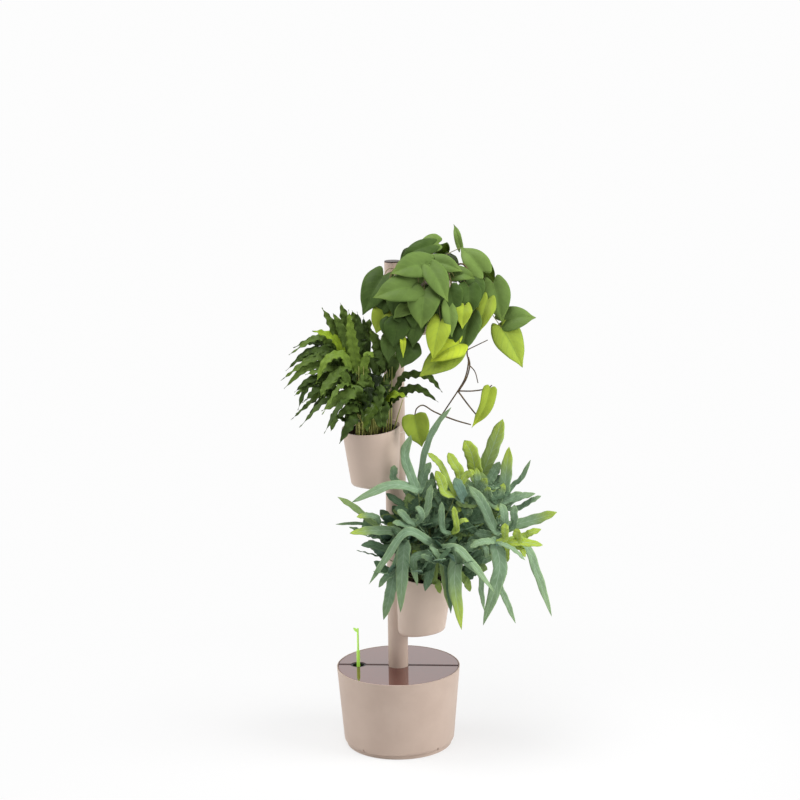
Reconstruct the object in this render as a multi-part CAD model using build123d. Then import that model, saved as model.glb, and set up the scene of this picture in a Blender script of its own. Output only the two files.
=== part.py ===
from build123d import *
import math
import os

# Millimetres. Z is up from the floor, X runs along the split of the lid, the front is -Y.
os.makedirs("parts", exist_ok=True)

# Water tank and its foot
rim_radius = 150.0
tank_height = 195.0
tank_foot_radius = 134.0
tank_wall = 3.0
tank_floor = 5.0
tank_foot_round = 9.0
tank_corner = 12.0
plate_radius = 128.0
plate_height = 8.0
clip_width = 3.6
clip_rise = 3.0
clip_gap = 0.5
clip_window = 3.5

# Lid halves, their ledge and the rail under their split
lid_thickness = 3.0
lid_drop = 0.4
lid_edge_gap = 1.3
lid_split = 3.0
lip_width = 2.2
ledge_width = 6.0
rail_width = 15.0
rail_height = 4.0
rail_gap = 0.4

# Column: one radius all the way up, spigots narrower
post_radius = 24.25
post_wall = 2.5
spigot_radius = 19.3
spigot_length = 42.0
swivel_gap = 0.06
washer_height = 1.5
shoulder_base = 52.0
pitch = 364.0
flange_radius = 45.0
flange_height = 4.0
flange_screw_ring = 37.0
cap_height = 3.0

# Bucket of one storey, measured from the storey's own shoulder
bucket_rim_radius = 69.0
bucket_foot_radius = 55.5
bucket_near = 21.0
bucket_rim_rise = 27.0
bucket_depth = 149.0
bucket_rim_slope = 6.0
bucket_foot_slope = 9.0
bucket_wall = 2.5
bucket_floor = 3.0
bucket_round = 12.0
bucket_web = 9.0
next_post_gap = 1.0

# Grow pot, soil
pot_gap = 2.0
pot_wall = 1.8
pot_foot = 14.0
pot_drop = 10.0
soil_drop = 15.0
soil_gap = 0.05

# Water line
riser_radius = 5.0
riser_bore = 3.5
line_gap = 0.1
riser_overrun = 25.0
port_radius = 7.0
barb_radius = 3.9
hose_radius = 6.0
outlet_height = 38.0

# Level sprout
well_inset = 52.0
well_radius = 16.2
well_wall = 2.0
well_rim_radius = 18.4
lid_hole_radius = 19.0
tube_radius = 4.2
rod_radius = 2.4
sprout_top = 288.0
tube_rise = 36.5

# Pump and timer, in line with the split on the right, set out from the flange of the column foot
pump_inset = 39.0
pump_barb = 14.0
barb_gap = 3.0
pump_length = 60.0
pump_width = 40.0
pump_height = 52.0
pump_foot = 6.0
volute_radius = 18.0
rotor_radius = 9.0
shaft_radius = 1.5
timer_length = 64.0
timer_width = 40.0
timer_height = 35.0
timer_wall = 2.0
cell_radius = 7.2
cell_length = 50.0
button_radius = 5.0

# Storeys: direction of each bucket
front_turn = 4.2
lower_azimuth = -38.0
middle_azimuth = -124.5
upper_azimuth = -31.0

# Plants: leaf unit, then sizes in leaf units
leaf_unit = 1.0
leaf_thickness = 1.6
stalk_width = 4.0
root_out = 10.0
root_depth = 6.0
rim_clearance = 11.0
golden = 137.5

low = (Align.CENTER, Align.CENTER, Align.MIN)
tank_foot = plate_height
floor_top = plate_height + tank_floor
lid_top = tank_height - lid_drop
ledge_top = lid_top - lid_thickness
lip_radius = rim_radius - lip_width
rail_foot = ledge_top - rail_height
module_length = pitch - washer_height
well_x = well_inset - rim_radius
pump_x = flange_radius + pump_inset
cad = {}


def rod(radius, z0, z1, x=0.0, y=0.0):
    return Pos(x, y, z0) * Cylinder(radius, z1 - z0, align=low)


def ring(outer, inner, z0, z1, x=0.0, y=0.0):
    return rod(outer, z0, z1, x, y) - rod(inner, z0, z1, x, y)


def block(x0, x1, y0, y1, z0, z1):
    middle = ((x0 + x1) / 2, (y0 + y1) / 2, (z0 + z1) / 2)
    return Pos(*middle) * Box(x1 - x0, y1 - y0, z1 - z0)


def rod_x(radius, x0, x1, y, z):
    return Pos(x0, y, z) * Rot(0, 90, 0) * Cylinder(radius, x1 - x0, align=low)


def rod_y(radius, y0, y1, x, z):
    return Pos(x, y0, z) * Rot(-90, 0, 0) * Cylinder(radius, y1 - y0, align=low)


def around(count, radius, first=0.0):
    return [
        (
            radius * math.cos(math.radians(first + 360 * i / count)),
            radius * math.sin(math.radians(first + 360 * i / count)),
        )
        for i in range(count)
    ]


def turned(points):
    face = Plane.XZ * make_face(Polyline(*points, close=True))
    return revolve(face, Axis.Z)


def circles_at(solid, z, radius):
    return [
        e for e in solid.edges().filter_by(GeomType.CIRCLE)
        if abs(e.center(CenterOf.BOUNDING_BOX).Z - z) < 0.01 and abs(e.radius - radius) < 0.01
    ]


# Tank
wall_run = (rim_radius - tank_foot_radius) / (tank_height - tank_foot)


def wall_radius(z):
    return tank_foot_radius + wall_run * (z - tank_foot)


ledge_inner = lip_radius - ledge_width
ledge_foot = ledge_top - 9.0
tank = turned([
    (0, tank_foot),
    (tank_foot_radius, tank_foot),
    (rim_radius, tank_height),
    (lip_radius, tank_height),
    (lip_radius, ledge_top),
    (ledge_inner, ledge_top),
    (ledge_inner, ledge_foot),
    (wall_radius(ledge_foot - 8) - tank_wall, ledge_foot - 8),
    (wall_radius(floor_top) - tank_wall, floor_top),
    (0, floor_top),
])
tank = fillet(circles_at(tank, tank_foot, tank_foot_radius), tank_foot_round)
tank = fillet(circles_at(tank, tank_height, rim_radius), 0.9)
tank = fillet(circles_at(tank, floor_top, wall_radius(floor_top) - tank_wall), tank_corner)
pocket = rail_width / 2 + rail_gap
rail_end = lip_radius - 1.5
tank -= block(-rail_end - rail_gap, rail_end + rail_gap, -pocket, pocket, rail_foot, ledge_top)
clip_spots = [54, 138, 234, 318]
slot = block(
    plate_radius - 6, tank_foot_radius + 4, -clip_width / 2 - clip_gap, clip_width / 2 + clip_gap,
    tank_foot, tank_foot + clip_rise + clip_gap,
)
slot += block(
    tank_foot_radius - clip_window, tank_foot_radius + 4,
    -clip_width / 2 - clip_gap, clip_width / 2 + clip_gap,
    tank_foot, tank_foot + tank_foot_round,
)
for spot in clip_spots:
    tank -= Rot(0, 0, spot) * slot
screw_spots = around(4, flange_screw_ring, 45)
screw_radius = 2.2
for x, y in screw_spots:
    tank -= rod(screw_radius + 0.05, floor_top - 3.5, floor_top, x, y)
cad["base_tank"] = tank

plate = chamfer(circles_at(rod(plate_radius, 0, plate_height), 0, plate_radius), 0.8)
tab = block(
    plate_radius - 5, plate_radius - 1, -clip_width / 2, clip_width / 2,
    plate_height, plate_height + clip_rise,
)
for spot in clip_spots:
    plate += Rot(0, 0, spot) * tab
cad["foot_plate"] = plate

# Column foot with its spigot, and the screws that hold it to the tank floor
bore_radius = spigot_radius - post_wall
stub_floor = floor_top + flange_height
stub = rod(flange_radius, floor_top, stub_floor) + rod(post_radius, stub_floor, shoulder_base)
stub = fillet(circles_at(stub, stub_floor, post_radius), 4.0)
stub += rod(spigot_radius, shoulder_base, shoulder_base + spigot_length)
stub -= rod(bore_radius, stub_floor, shoulder_base + spigot_length)
stub -= rod_x(hose_radius + 0.3, 0, post_radius + 6, 0, outlet_height)
for x, y in screw_spots:
    stub -= rod(screw_radius + 0.3, floor_top, stub_floor, x, y)
cad["column_stub"] = stub
screws = []
for x, y in screw_spots:
    head = chamfer(rod(4.2, stub_floor, stub_floor + 3, x, y).edges().group_by(Axis.Z)[-1], 0.7)
    head -= block(x - 3, x + 3, y - 0.6, y + 0.6, stub_floor + 1.8, stub_floor + 3)
    screws.append(head + rod(screw_radius, floor_top - 3, stub_floor, x, y))
cad["stub_screws"] = Compound(children=screws)

# Rail across the tank under the split of the lid
rail = block(-rail_end, rail_end, -rail_width / 2, rail_width / 2, rail_foot, ledge_top)
rail = rail & rod(rail_end, rail_foot, ledge_top)
rail += rod(post_radius + 9, rail_foot, ledge_top) + rod(well_radius + 7, rail_foot, ledge_top, well_x)
rail -= rod(post_radius + next_post_gap, rail_foot, ledge_top)
rail -= rod(well_radius + rail_gap, rail_foot, ledge_top, well_x)
timer_screw_spots = [pump_x - 22, pump_x + 22]
for x in timer_screw_spots:
    rail -= rod(2.0, rail_foot, ledge_top, x) + rod(4.2, ledge_top - 2, ledge_top, x)
cad["cross_rail"] = rail

# Lid halves
lid_disc = rod(lip_radius - lid_edge_gap, ledge_top, lid_top)
lid_disc -= rod(post_radius + next_post_gap, ledge_top, lid_top)
lid_disc -= rod(lid_hole_radius, ledge_top, lid_top, well_x)
reach = rim_radius
front = lid_disc & block(-reach, reach, -reach, -lid_split / 2, ledge_top, lid_top)
rear = lid_disc & block(-reach, reach, lid_split / 2, reach, ledge_top, lid_top)
cad["front_lid"] = chamfer(front.edges().group_by(Axis.Z)[-1], 0.4)
cad["rear_lid"] = chamfer(rear.edges().group_by(Axis.Z)[-1], 0.4)

# Level sprout: well with a spider, fixed tube, sliding rod with a leaf, float
well_foot = 24.0
spider_z = ledge_top - 14
well = ring(well_radius, well_radius - well_wall, well_foot, ledge_top, well_x)
well += ring(well_rim_radius, well_radius - well_wall, ledge_top, ledge_top + 1.8, well_x)
well += ring(well_radius, well_radius - well_wall - 3, well_foot, well_foot + 2.5, well_x)
for spot in [60, 180, 300]:
    arm = block(0, well_radius - 0.5, -1.2, 1.2, spider_z, spider_z + 5)
    well += Pos(well_x, 0, 0) * Rot(0, 0, spot) * arm
    window = block(well_radius - 6, well_radius + 2, -4, 4, well_foot + 10, well_foot + 50)
    well -= Pos(well_x, 0, 0) * Rot(0, 0, spot) * window
well += rod(tube_radius + 2.5, spider_z, spider_z + 8, well_x)
well -= rod(tube_radius + 0.05, spider_z, spider_z + 8, well_x)
cad["float_well"] = well
tube_foot = spider_z - 20
tube = ring(tube_radius, rod_radius + 0.1, tube_foot, lid_top + tube_rise, well_x)
cad["level_tube"] = chamfer(circles_at(tube, lid_top + tube_rise, tube_radius), 0.6)
float_top = tube_foot - 10
float_height = 40.0
float_body = ring(13.0, rod_radius + 0.05, float_top - float_height, float_top, well_x)
cad["level_float"] = fillet(
    circles_at(float_body, float_top, 13.0) + circles_at(float_body, float_top - float_height, 13.0), 4.0
)
sprout = rod(rod_radius, float_top - float_height - 4, sprout_top - rod_radius, well_x)
sprout += Pos(well_x, 0, sprout_top - rod_radius) * Sphere(rod_radius)
leaf_length = 16.5
leaf_bow = ThreePointArc((0, 0), (leaf_length / 2, 3.6), (leaf_length, 0))
leaf_face = make_face(leaf_bow + Line((leaf_length, 0), (0, 0)))
leaf_face += mirror(leaf_face, Plane.XZ)
sprout_leaf = extrude(leaf_face, 0.8, both=True)
sprout += Pos(well_x + 1, 0, sprout_top - 11) * Rot(0, -136, 0) * Rot(70, 0, 0) * sprout_leaf
cad["level_sprout"] = sprout

# Pump on its four feet, rotor along Y, outlet towards the column
pump_z = floor_top + pump_foot
x0 = pump_x - pump_length / 2
x1 = pump_x + pump_length / 2
y0 = -7.0
y1 = y0 + pump_width
pump = block(x0, x1, y0, y1, pump_z, pump_z + pump_height)
pump = fillet(pump.edges().filter_by(Axis.Y), 6.0)
axis_z = outlet_height + 6.0
chamber = 14.0
well_end = y0 + chamber + 20
pump += rod_x(barb_radius, x0 - pump_barb, x0 + 2, y0 + 7, outlet_height)
pump -= rod_y(volute_radius, y0, y0 + chamber, pump_x, axis_z)
pump -= rod_y(rotor_radius + 0.5, y0 + chamber, well_end, pump_x, axis_z)
pump -= rod_y(shaft_radius + 0.02, well_end, well_end + 4, pump_x, axis_z)
pump -= rod_x(2.6, x0 - pump_barb, pump_x - volute_radius + 4, y0 + 7, outlet_height)
lead_x = pump_x + 20
lead_y = 14.0
lead_radius = 2.5
pump -= rod(lead_radius + 0.05, pump_z + pump_height - 6, pump_z + pump_height, lead_x, lead_y)
cad["pump_housing"] = pump
cover = block(pump_x - 23, pump_x + 23, y0 - 3, y0, axis_z - 21, axis_z + 23)
cover = fillet(cover.edges().filter_by(Axis.Y), 4.0)
for spot in range(6):
    gap = block(6, 14, -1.6, 1.6, -10, 10)
    cover -= Pos(pump_x, y0 - 1.5, axis_z) * Rot(90, 0, 0) * Rot(0, 0, 60 * spot) * gap
cover += rod_y(4.0, y0 - 6, y0 - 3, pump_x, axis_z)
cover -= rod_y(shaft_radius + 0.02, y0 - 4.5, y0, pump_x, axis_z)
cad["pump_cover"] = cover
rotor = rod_y(rotor_radius, y0 + chamber - 2, well_end - 1, pump_x, axis_z)
for spot in range(3):
    vane = block(-volute_radius + 2, volute_radius - 2, -1, 1, 0, chamber - 3)
    rotor += Pos(pump_x, y0 + 2, axis_z) * Rot(-90, 0, 0) * Rot(0, 0, 60 * spot) * vane
rotor -= rod_y(shaft_radius + 0.06, y0, well_end, pump_x, axis_z)
cad["pump_impeller"] = rotor
cad["pump_shaft"] = rod_y(shaft_radius, y0 - 4, well_end + 3.5, pump_x, axis_z)
sponge = block(pump_x - 20, pump_x + 20, y0 - 18, y0 - 6, axis_z - 19, axis_z + 20)
cad["pump_filter"] = fillet(sponge.edges().filter_by(Axis.Y), 5.0)
feet = []
for x in [x0 + 10, x1 - 10]:
    for y in [y0 + 9, y1 - 9]:
        cup = Pos(x, y, floor_top) * Cone(6.5, 3.5, pump_foot, align=low)
        feet.append(cup)
cad["pump_feet"] = Compound(children=feet)
hose_end = 19.0
elbow_end = x0 - pump_barb - barb_gap
hose = rod_x(hose_radius, hose_end, x0 - 0.5, 0, outlet_height)
cad["pump_hose"] = hose - rod_x(barb_radius + line_gap, hose_end, x0 - 0.5, 0, outlet_height)

# Elbow in the column foot and the risers
elbow_top = shoulder_base + 9
elbow = rod(7.0, stub_floor, elbow_top) + rod(riser_bore - line_gap, elbow_top, elbow_top + 14)
elbow += rod_x(barb_radius, 0, elbow_end, 0, outlet_height)
elbow += rod_x(5.5, 0, hose_end - 0.5, 0, outlet_height)
elbow -= rod_x(2.4, 0, elbow_end, 0, outlet_height)
elbow -= rod(2.4, outlet_height, elbow_top + 14)
cad["riser_elbow"] = elbow
shoulders = [shoulder_base + pitch * (i + 1) for i in range(3)]
riser_foot = elbow_top + 0.3
for name, shoulder in zip(["lower", "middle", "upper"], shoulders):
    riser_top = shoulder + riser_overrun
    cad[name + "_riser"] = ring(riser_radius, riser_bore, riser_foot, riser_top)
    riser_foot = riser_top + 0.3
    if name != "upper":
        sleeve = ring(riser_radius + 2, riser_radius + line_gap, riser_top - 12, riser_top + 12)
        cad[name + "_coupler"] = sleeve

# Timer case under the rail, its cover, cells, button, screws and the lead down to the pump
t0 = pump_x - timer_length / 2
t1 = pump_x + timer_length / 2
s0 = -rail_width / 2
s1 = s0 + timer_width
timer_foot = rail_foot - timer_height
case = block(t0, t1, s0, s1, timer_foot, rail_foot)
case = fillet(case.edges().filter_by(Axis.Z), 5.0)
inner = block(
    t0 + timer_wall, t1 - timer_wall, s0 + timer_wall, s1 - timer_wall, timer_foot, rail_foot - timer_wall,
)
case -= fillet(inner.edges().filter_by(Axis.Z), 3.0)
button_y = s1 - 11
case -= rod(button_radius + 0.3, rail_foot - timer_wall, rail_foot, pump_x, button_y)
for x in timer_screw_spots:
    case += rod(4.0, rail_foot - 11, rail_foot - timer_wall, x)
    case -= rod(1.65, rail_foot - 10, rail_foot, x)
cad["timer_case"] = case
bottom = block(t0, t1, s0, s1, timer_foot - 3, timer_foot)
bottom = fillet(bottom.edges().filter_by(Axis.Z), 5.0)
cad["timer_cover"] = bottom - rod(lead_radius + 0.05, timer_foot - 3, timer_foot, lead_x, lead_y)
cells = []
for y in [s0 + timer_wall + cell_radius + 1, s0 + timer_wall + 3 * cell_radius + 2]:
    z = timer_foot + cell_radius
    cell = rod_x(cell_radius, pump_x - cell_length / 2, pump_x + cell_length / 2 - 1.5, y, z)
    nub = rod_x(2.5, pump_x + cell_length / 2 - 1.5, pump_x + cell_length / 2, y, z)
    cells.append(cell + nub)
cad["battery_cells"] = Compound(children=cells)
button = rod(button_radius, rail_foot - timer_wall - 1.6, rail_foot + 2.2, pump_x, button_y)
button += rod(button_radius + 1.5, rail_foot - timer_wall - 3, rail_foot - timer_wall - 0.1, pump_x, button_y)
cad["timer_button"] = button
fixings = []
for x in timer_screw_spots:
    head = rod(4.0, ledge_top - 2, ledge_top - 0.2, x)
    head -= block(x - 3, x + 3, -0.5, 0.5, ledge_top - 1, ledge_top)
    fixings.append(head + rod(1.6, rail_foot - 9, ledge_top - 2, x))
cad["timer_screws"] = Compound(children=fixings)
cad["pump_lead"] = rod(lead_radius, pump_z + pump_height - 5, timer_foot - 0.5, lead_x, lead_y)

# One storey, built with its own foot at Z = 0 and its bucket towards +X
rim_z = module_length + bucket_rim_rise
foot_z = rim_z - bucket_depth
rim_x = bucket_near + bucket_rim_radius
foot_x = bucket_near + bucket_foot_radius
flare = (bucket_rim_radius - bucket_foot_radius) / bucket_depth
rim_plane = Plane((rim_x, 0, rim_z), z_dir=(math.tan(math.radians(bucket_rim_slope)), 0, 1))
foot_plane = Plane((foot_x, 0, foot_z), z_dir=(-math.tan(math.radians(bucket_foot_slope)), 0, 1))


def cup(shrink, lift, drop, rounding):
    rings = []
    for z in [foot_z - 40, rim_z + 60]:
        radius = bucket_foot_radius + flare * (z - foot_z)
        rings.append(Plane((bucket_near + radius, 0, z)) * Circle(radius - shrink))
    solid = loft(rings, ruled=True)
    solid = split(solid, bisect_by=foot_plane.offset(lift), keep=Keep.TOP)
    if rounding:
        solid = fillet(solid.edges().group_by(Axis.Z)[0], rounding)
    if drop is None:
        return solid
    return split(solid, bisect_by=rim_plane.offset(-drop), keep=Keep.BOTTOM)


bucket = cup(0, 0, 0, bucket_round)
hollow = cup(bucket_wall, bucket_floor, None, bucket_round - bucket_wall)
storey = bucket + rod(post_radius, 0, module_length)


def on_post(edge):
    spots = [edge.position_at(part) for part in (0.1, 0.5, 0.9)]
    lies = all(abs(math.hypot(spot.X, spot.Y) - post_radius) < 0.05 for spot in spots)
    return lies and all(1 < spot.Z < module_length - 1 for spot in spots)


storey = fillet([edge for edge in storey.edges() if on_post(edge)], bucket_web)
storey -= hollow
collar_top = spigot_length + 3
storey -= rod(spigot_radius + swivel_gap, 0, collar_top)
storey -= Pos(0, 0, collar_top) * Cone(
    spigot_radius + swivel_gap, post_radius - post_wall, 3, align=low
)
storey -= rod(post_radius - post_wall, collar_top + 3, module_length - 3)
storey -= rod(post_radius + next_post_gap, module_length, rim_z + 60)
storey += ring(spigot_radius, bore_radius, module_length - 3, module_length + spigot_length)
storey -= rod(riser_radius + line_gap, module_length - 3, module_length)
for x, y in around(6, 11.5, 30):
    storey -= rod(3.0, module_length - 3, module_length, x, y)
port_x = bucket_near + bucket_wall
port_z = foot_z + bucket_floor - (foot_x - port_x) * math.tan(math.radians(bucket_foot_slope)) + 20
storey -= rod_x(port_radius, 10, 40, 0, port_z)

strainer = rod_x(port_radius - 0.2, post_radius - post_wall + 0.6, port_x + 1.5, 0, port_z)
strainer += rod_x(port_radius + 2, port_x + 0.9, port_x + 2, 0, port_z)
for step in [-3.6, 0, 3.6]:
    strainer -= block(10, 40, step - 0.9, step + 0.9, port_z - 5, port_z + 5)

pot_outer = bucket_wall + pot_gap
pot_lift = bucket_floor + pot_foot
grow_pot = cup(pot_outer, pot_lift, pot_drop, bucket_round - 3)
grow_pot -= cup(pot_outer + pot_wall, pot_lift + 2, None, bucket_round - 5)
stand = foot_plane.offset(bucket_floor)
for x, y in around(4, 30, 45):
    grow_pot += stand * Pos(x, y, 0) * Cylinder(4, pot_foot, align=low)
for x, y in around(6, 16) + [(0, 0)]:
    grow_pot -= stand * Pos(x, y, pot_foot - 4) * Cylinder(3, 10, align=low)
soil = cup(pot_outer + pot_wall + soil_gap, pot_lift + 2, soil_drop, bucket_round - 5)

storeys = [
    ("lower", lower_azimuth, shoulder_base),
    ("middle", middle_azimuth, shoulder_base + pitch),
    ("upper", upper_azimuth, shoulder_base + 2 * pitch),
]
for name, azimuth, below in storeys:
    place = Pos(0, 0, below + washer_height) * Rot(0, 0, azimuth)
    cad[name + "_module"] = place * storey
    cad[name + "_strainer"] = place * strainer
    cad[name + "_grow_pot"] = place * grow_pot
    cad[name + "_soil"] = place * soil
    cad[name + "_washer"] = ring(post_radius - 0.6, spigot_radius + 0.3, below, below + washer_height)

top = shoulders[2] + spigot_length
cap = rod(spigot_radius - 0.3, top, top + cap_height) + rod(bore_radius - 0.1, top - 8, top)
cad["top_cap"] = cap - rod(bore_radius - 2, top - 8, top)
spreader = ring(riser_radius + 2, riser_radius + line_gap, shoulders[2] + 10, shoulders[2] + riser_overrun)
spreader += rod(riser_radius + 2, shoulders[2] + riser_overrun, shoulders[2] + riser_overrun + 4)
spreader -= rod_x(1.5, -20, 20, 0, shoulders[2] + riser_overrun + 2)
cad["water_spreader"] = spreader


# Plants. Leaves are written about the middle of their soil, as seen from the front, in leaf units.
# A leaf is a thin faceted blade along a spine of points.
def blade(spine, widths, thickness, facing):
    points = [Vector(*p) for p in spine]
    face_to = Vector(*facing)
    sections = []
    side = None
    for i in reversed(range(len(widths))):
        coming = (points[i + 1] - points[i]).normalized()
        going = (points[i + 2] - points[i + 1]).normalized()
        along = (coming + going).normalized()
        across = face_to.cross(along)
        if side is None or across.length > 0.35:
            new = across.normalized()
        else:
            new = (side - along * side.dot(along)).normalized()
        if side is not None and new.dot(side) < 0:
            new = new * -1
        side = new
        half = side * (widths[i] / 2)
        deep = thickness
        if widths[i] < 4 * thickness:
            deep = max(thickness, widths[i] * 0.6)
        normal = along.cross(side).normalized() * (deep / 2)
        here = points[i + 1]
        sections.insert(0, [here + half, here + normal, here - half, here - normal])
    triangles = []
    for k in range(4):
        n = (k + 1) % 4
        triangles.append((points[0], sections[0][n], sections[0][k]))
        triangles.append((points[-1], sections[-1][k], sections[-1][n]))
        # Both sheets are split from the same edge, so the sheets of a twisted blade don't cross
        for one, two in zip(sections, sections[1:]):
            if k % 2 == 0:
                triangles.append((one[k], one[n], two[n]))
                triangles.append((one[k], two[n], two[k]))
            else:
                triangles.append((one[k], one[n], two[k]))
                triangles.append((one[n], two[n], two[k]))
    faces =[Face(Wire.make_polygon(t, close=True)) for t in triangles]
    return Solid(Shell(faces))


def crown_of(azimuth, below):
    spot = Rot(0, 0, azimuth - front_turn) * Pos(rim_x, 0, 0)
    height = below + washer_height + rim_z - soil_drop
    return spot.position.X, spot.position.Y, height


def share(one, two, part):
    return tuple(a + (b - a) * part for a, b in zip(one, two))


class Plant:
    def __init__(self, azimuth, below):
        self.crown = crown_of(azimuth, below)
        self.to_column = azimuth - front_turn + 180
        self.blades = []

    def add(self, spine, widths, facing=(0, -0.7, 0.7)):
        spots = [tuple(c + leaf_unit * v for c, v in zip(self.crown, p)) for p in spine]
        sizes = [leaf_unit * w for w in widths]
        self.blades.append(blade(spots, sizes, leaf_unit * leaf_thickness, facing))

    def root(self, point):
        out = math.hypot(point[0], point[1])
        return point[0] * root_out / out, point[1] * root_out / out, -root_depth

    def stalk(self, end):
        start = self.root(end)
        knee = share(start, end, 0.5)
        self.add([start, (knee[0] * 0.85, knee[1] * 0.85, knee[2] * 1.1), end], [stalk_width])

    def lobe(self, start, points, width):
        points = list(points)
        if len(points) == 2:
            points.insert(1, share(points[0], points[1], 0.45))
        late = share(points[-2], points[-1], 0.6)
        widths = [width * 0.5] + [width] * (len(points) - 2) + [width * 0.7]
        self.add([start, *points[:-1], late, points[-1]], widths)

    def solid(self):
        return Rot(0, 0, front_turn) * Compound(children=self.blades)


def polar(azimuth, reach, rise):
    return reach * math.cos(math.radians(azimuth)), reach * math.sin(math.radians(azimuth)), rise


# Fern: each frond has a hub where its stalk ends, then lobes by foot, bend, tip and width
fern_fronds = [
    ((-12, -62, 230), [
        ([(-18, -72, 242), (-77, -107, 261), (-166, -132, 228)], 24),
        ([(-18, -69, 245), (-43, -84, 324), (-28, -94, 376)], 24),
        ([(-66, -62, 261), (-68, -67, 299)], 18),
        ([(-7, -47, 259), (5, -77, 335), (65, -82, 438)], 20),
        ([(-6, -52, 246), (18, -52, 301)], 22),
    ]),
    ((-103, -50, 154), [
        ([(-120, -52, 157), (-200, -82, 228)], 17),
        ([(-111, -62, 172), (-157, -92, 182)], 17),
        ([(-117, -42, 149), (-160, -52, 156), (-207, -62, 157)], 8),
    ]),
    ((-20, -84, 160), [
        ([(-36, -92, 172), (-62, -107, 202)], 17),
        ([(-46, -97, 163), (-74, -117, 174)], 18),
        ([(6, -82, 191), (18, -82, 254)], 19),
        ([(-5, -92, 179), (-19, -92, 205)], 15),
    ]),
    ((74, -54, 220), [
        ([(51, -62, 230), (29, -62, 283)], 24),
        ([(45, -42, 284), (11, -42, 321)], 16),
        ([(86, -37, 267), (59, -37, 320)], 24),
        ([(96, -52, 263), (117, -52, 281)], 18),
        ([(95, -57, 212), (73, -57, 264)], 26),
    ]),
    ((130, -2, 240), [
        ([(145, -2, 269), (189, -2, 391)], 34),
        ([(124, -12, 268), (114, -22, 315), (97, -32, 348)], 34),
        ([(136, 8, 251), (182, 8, 271)], 20),
        ([(138, 3, 244), (180, 3, 240)], 22),
    ]),
    ((182, -30, 180), [
        ([(186, -32, 203), (194, -32, 262), (202, -32, 331)], 28),
        ([(210, -2, 227), (232, -2, 247), (254, -2, 291)], 12),
        ([(195, -37, 194), (263, -37, 218)], 17),
        ([(222, -32, 182), (277, -32, 211)], 14),
        ([(176, -27, 191), (124, -27, 245)], 19),
    ]),
    ((178, -58, 134), [
        ([(198, -52, 142), (261, -52, 159), (312, -62, 179)], 28),
        ([(188, -72, 154), (179, -72, 205)], 21),
        ([(209, -72, 150), (212, -72, 201)], 18),
        ([(166, -67, 140), (136, -67, 207), (105, -67, 247)], 24),
    ]),
    ((167, -98, 118), [
        ([(166, -102, 114), (174, -117, 53), (135, -122, -76)], 36),
        ([(184, -96, 116), (276, -107, 112)], 22),
        ([(228, -77, 124), (274, -77, 142)], 17),
        ([(186, -102, 126), (188, -102, 165)], 19),
        ([(215, -100, 120), (217, -102, 152)], 20),
        ([(191, -102, 108), (194, -102, 71)], 12),
        ([(220, -102, 105), (235, -102, 82)], 13),
        ([(180, -112, 118), (234, -117, 79)], 12),
        ([(152, -108, 124), (105, -117, 111)], 17),
        ([(139, -112, 118), (143, -112, 84)], 12),
        ([(232, -80, 110), (266, -82, 32), (298, -87, -68)], 21),
        ([(173, -94, 22), (192, -94, -28), (212, -94, -81)], 15),
    ]),
    ((34, -98, 106), [
        ([(15, -107, 122), (-40, -127, 155), (-87, -137, 98), (-130, -132, 31)], 22),
        ([(2, -107, 95), (-26, -122, 85), (-18, -127, 24)], 20),
        ([(18, -112, 114), (42, -127, 79)], 14),
        ([(72, -112, 100), (69, -127, 30), (84, -132, -83)], 33),
        ([(42, -112, 108), (76, -127, 113), (118, -134, 68), (162, -137, 6)], 20),
        ([(15, -102, 64), (0, -102, 3)], 22),
        ([(22, -97, 34), (36, -97, -5)], 17),
        ([(43, -105, 64), (56, -105, -38)], 18),
        ([(50, -109, 86), (60, -109, -50)], 18),
        ([(84, -92, 37), (106, -92, -3)], 18),
        ([(124, -92, 44), (139, -92, -50)], 13),
    ]),
    ((-50, -88, 124), [
        ([(-65, -82, 143), (-173, -117, 150)], 25),
        ([(-87, -82, 103), (-148, -82, 111)], 18),
        ([(-47, -112, 114), (-52, -122, 62), (-58, -127, -40)], 32),
        ([(-68, -109, 58), (-108, -109, 16)], 15),
        ([(-72, -110, 43), (-98, -110, -63)], 27),
    ]),
    ((64, -82, 136), [
        ([(76, -92, 148), (69, -92, 205)], 14),
        ([(79, -90, 162), (104, -92, 168)], 11),
        ([(44, -92, 149), (42, -92, 216)], 15),
    ]),
]
fern = Plant(lower_azimuth, shoulder_base)
for hub, lobes in fern_fronds:
    fern.stalk(hub)
    for points, width in lobes:
        fern.lobe(hub, points, width)
# Fronds at the back and inside: azimuth, reach and rise of the hub, length of the lobes
for azimuth, reach, rise, length in [
    (-125, 40, 100, 90), (-75, 50, 110, 95), (-30, 60, 120, 95), (5, 70, 130, 95), (25, 95, 110, 110),
    (50, 90, 130, 115), (75, 95, 95, 110), (85, 80, 120, 100), (195, 90, 60, 80), (215, 70, 80, 80),
    (60, 40, 170, 110), (-10, 50, 180, 100), (-55, 110, 60, 90), (35, 130, 40, 100),
]:
    hub = polar(azimuth, reach, rise)
    fern.stalk(hub)
    for turn, tilt, part in [(0, 20, 1.0), (38, 40, 0.8), (-38, 40, 0.8), (80, 25, 0.6), (-80, 25, 0.6)]:
        flat = length * part * math.cos(math.radians(tilt))
        run = polar(azimuth + turn, flat, length * part * math.sin(math.radians(tilt)))
        tip = tuple(h + r for h, r in zip(hub, run))
        fern.lobe(hub, [share(hub, tip, 0.15), share(hub, tip, 0.5), tip], 22)
cad["lower_fronds"] = fern.solid()

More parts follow.
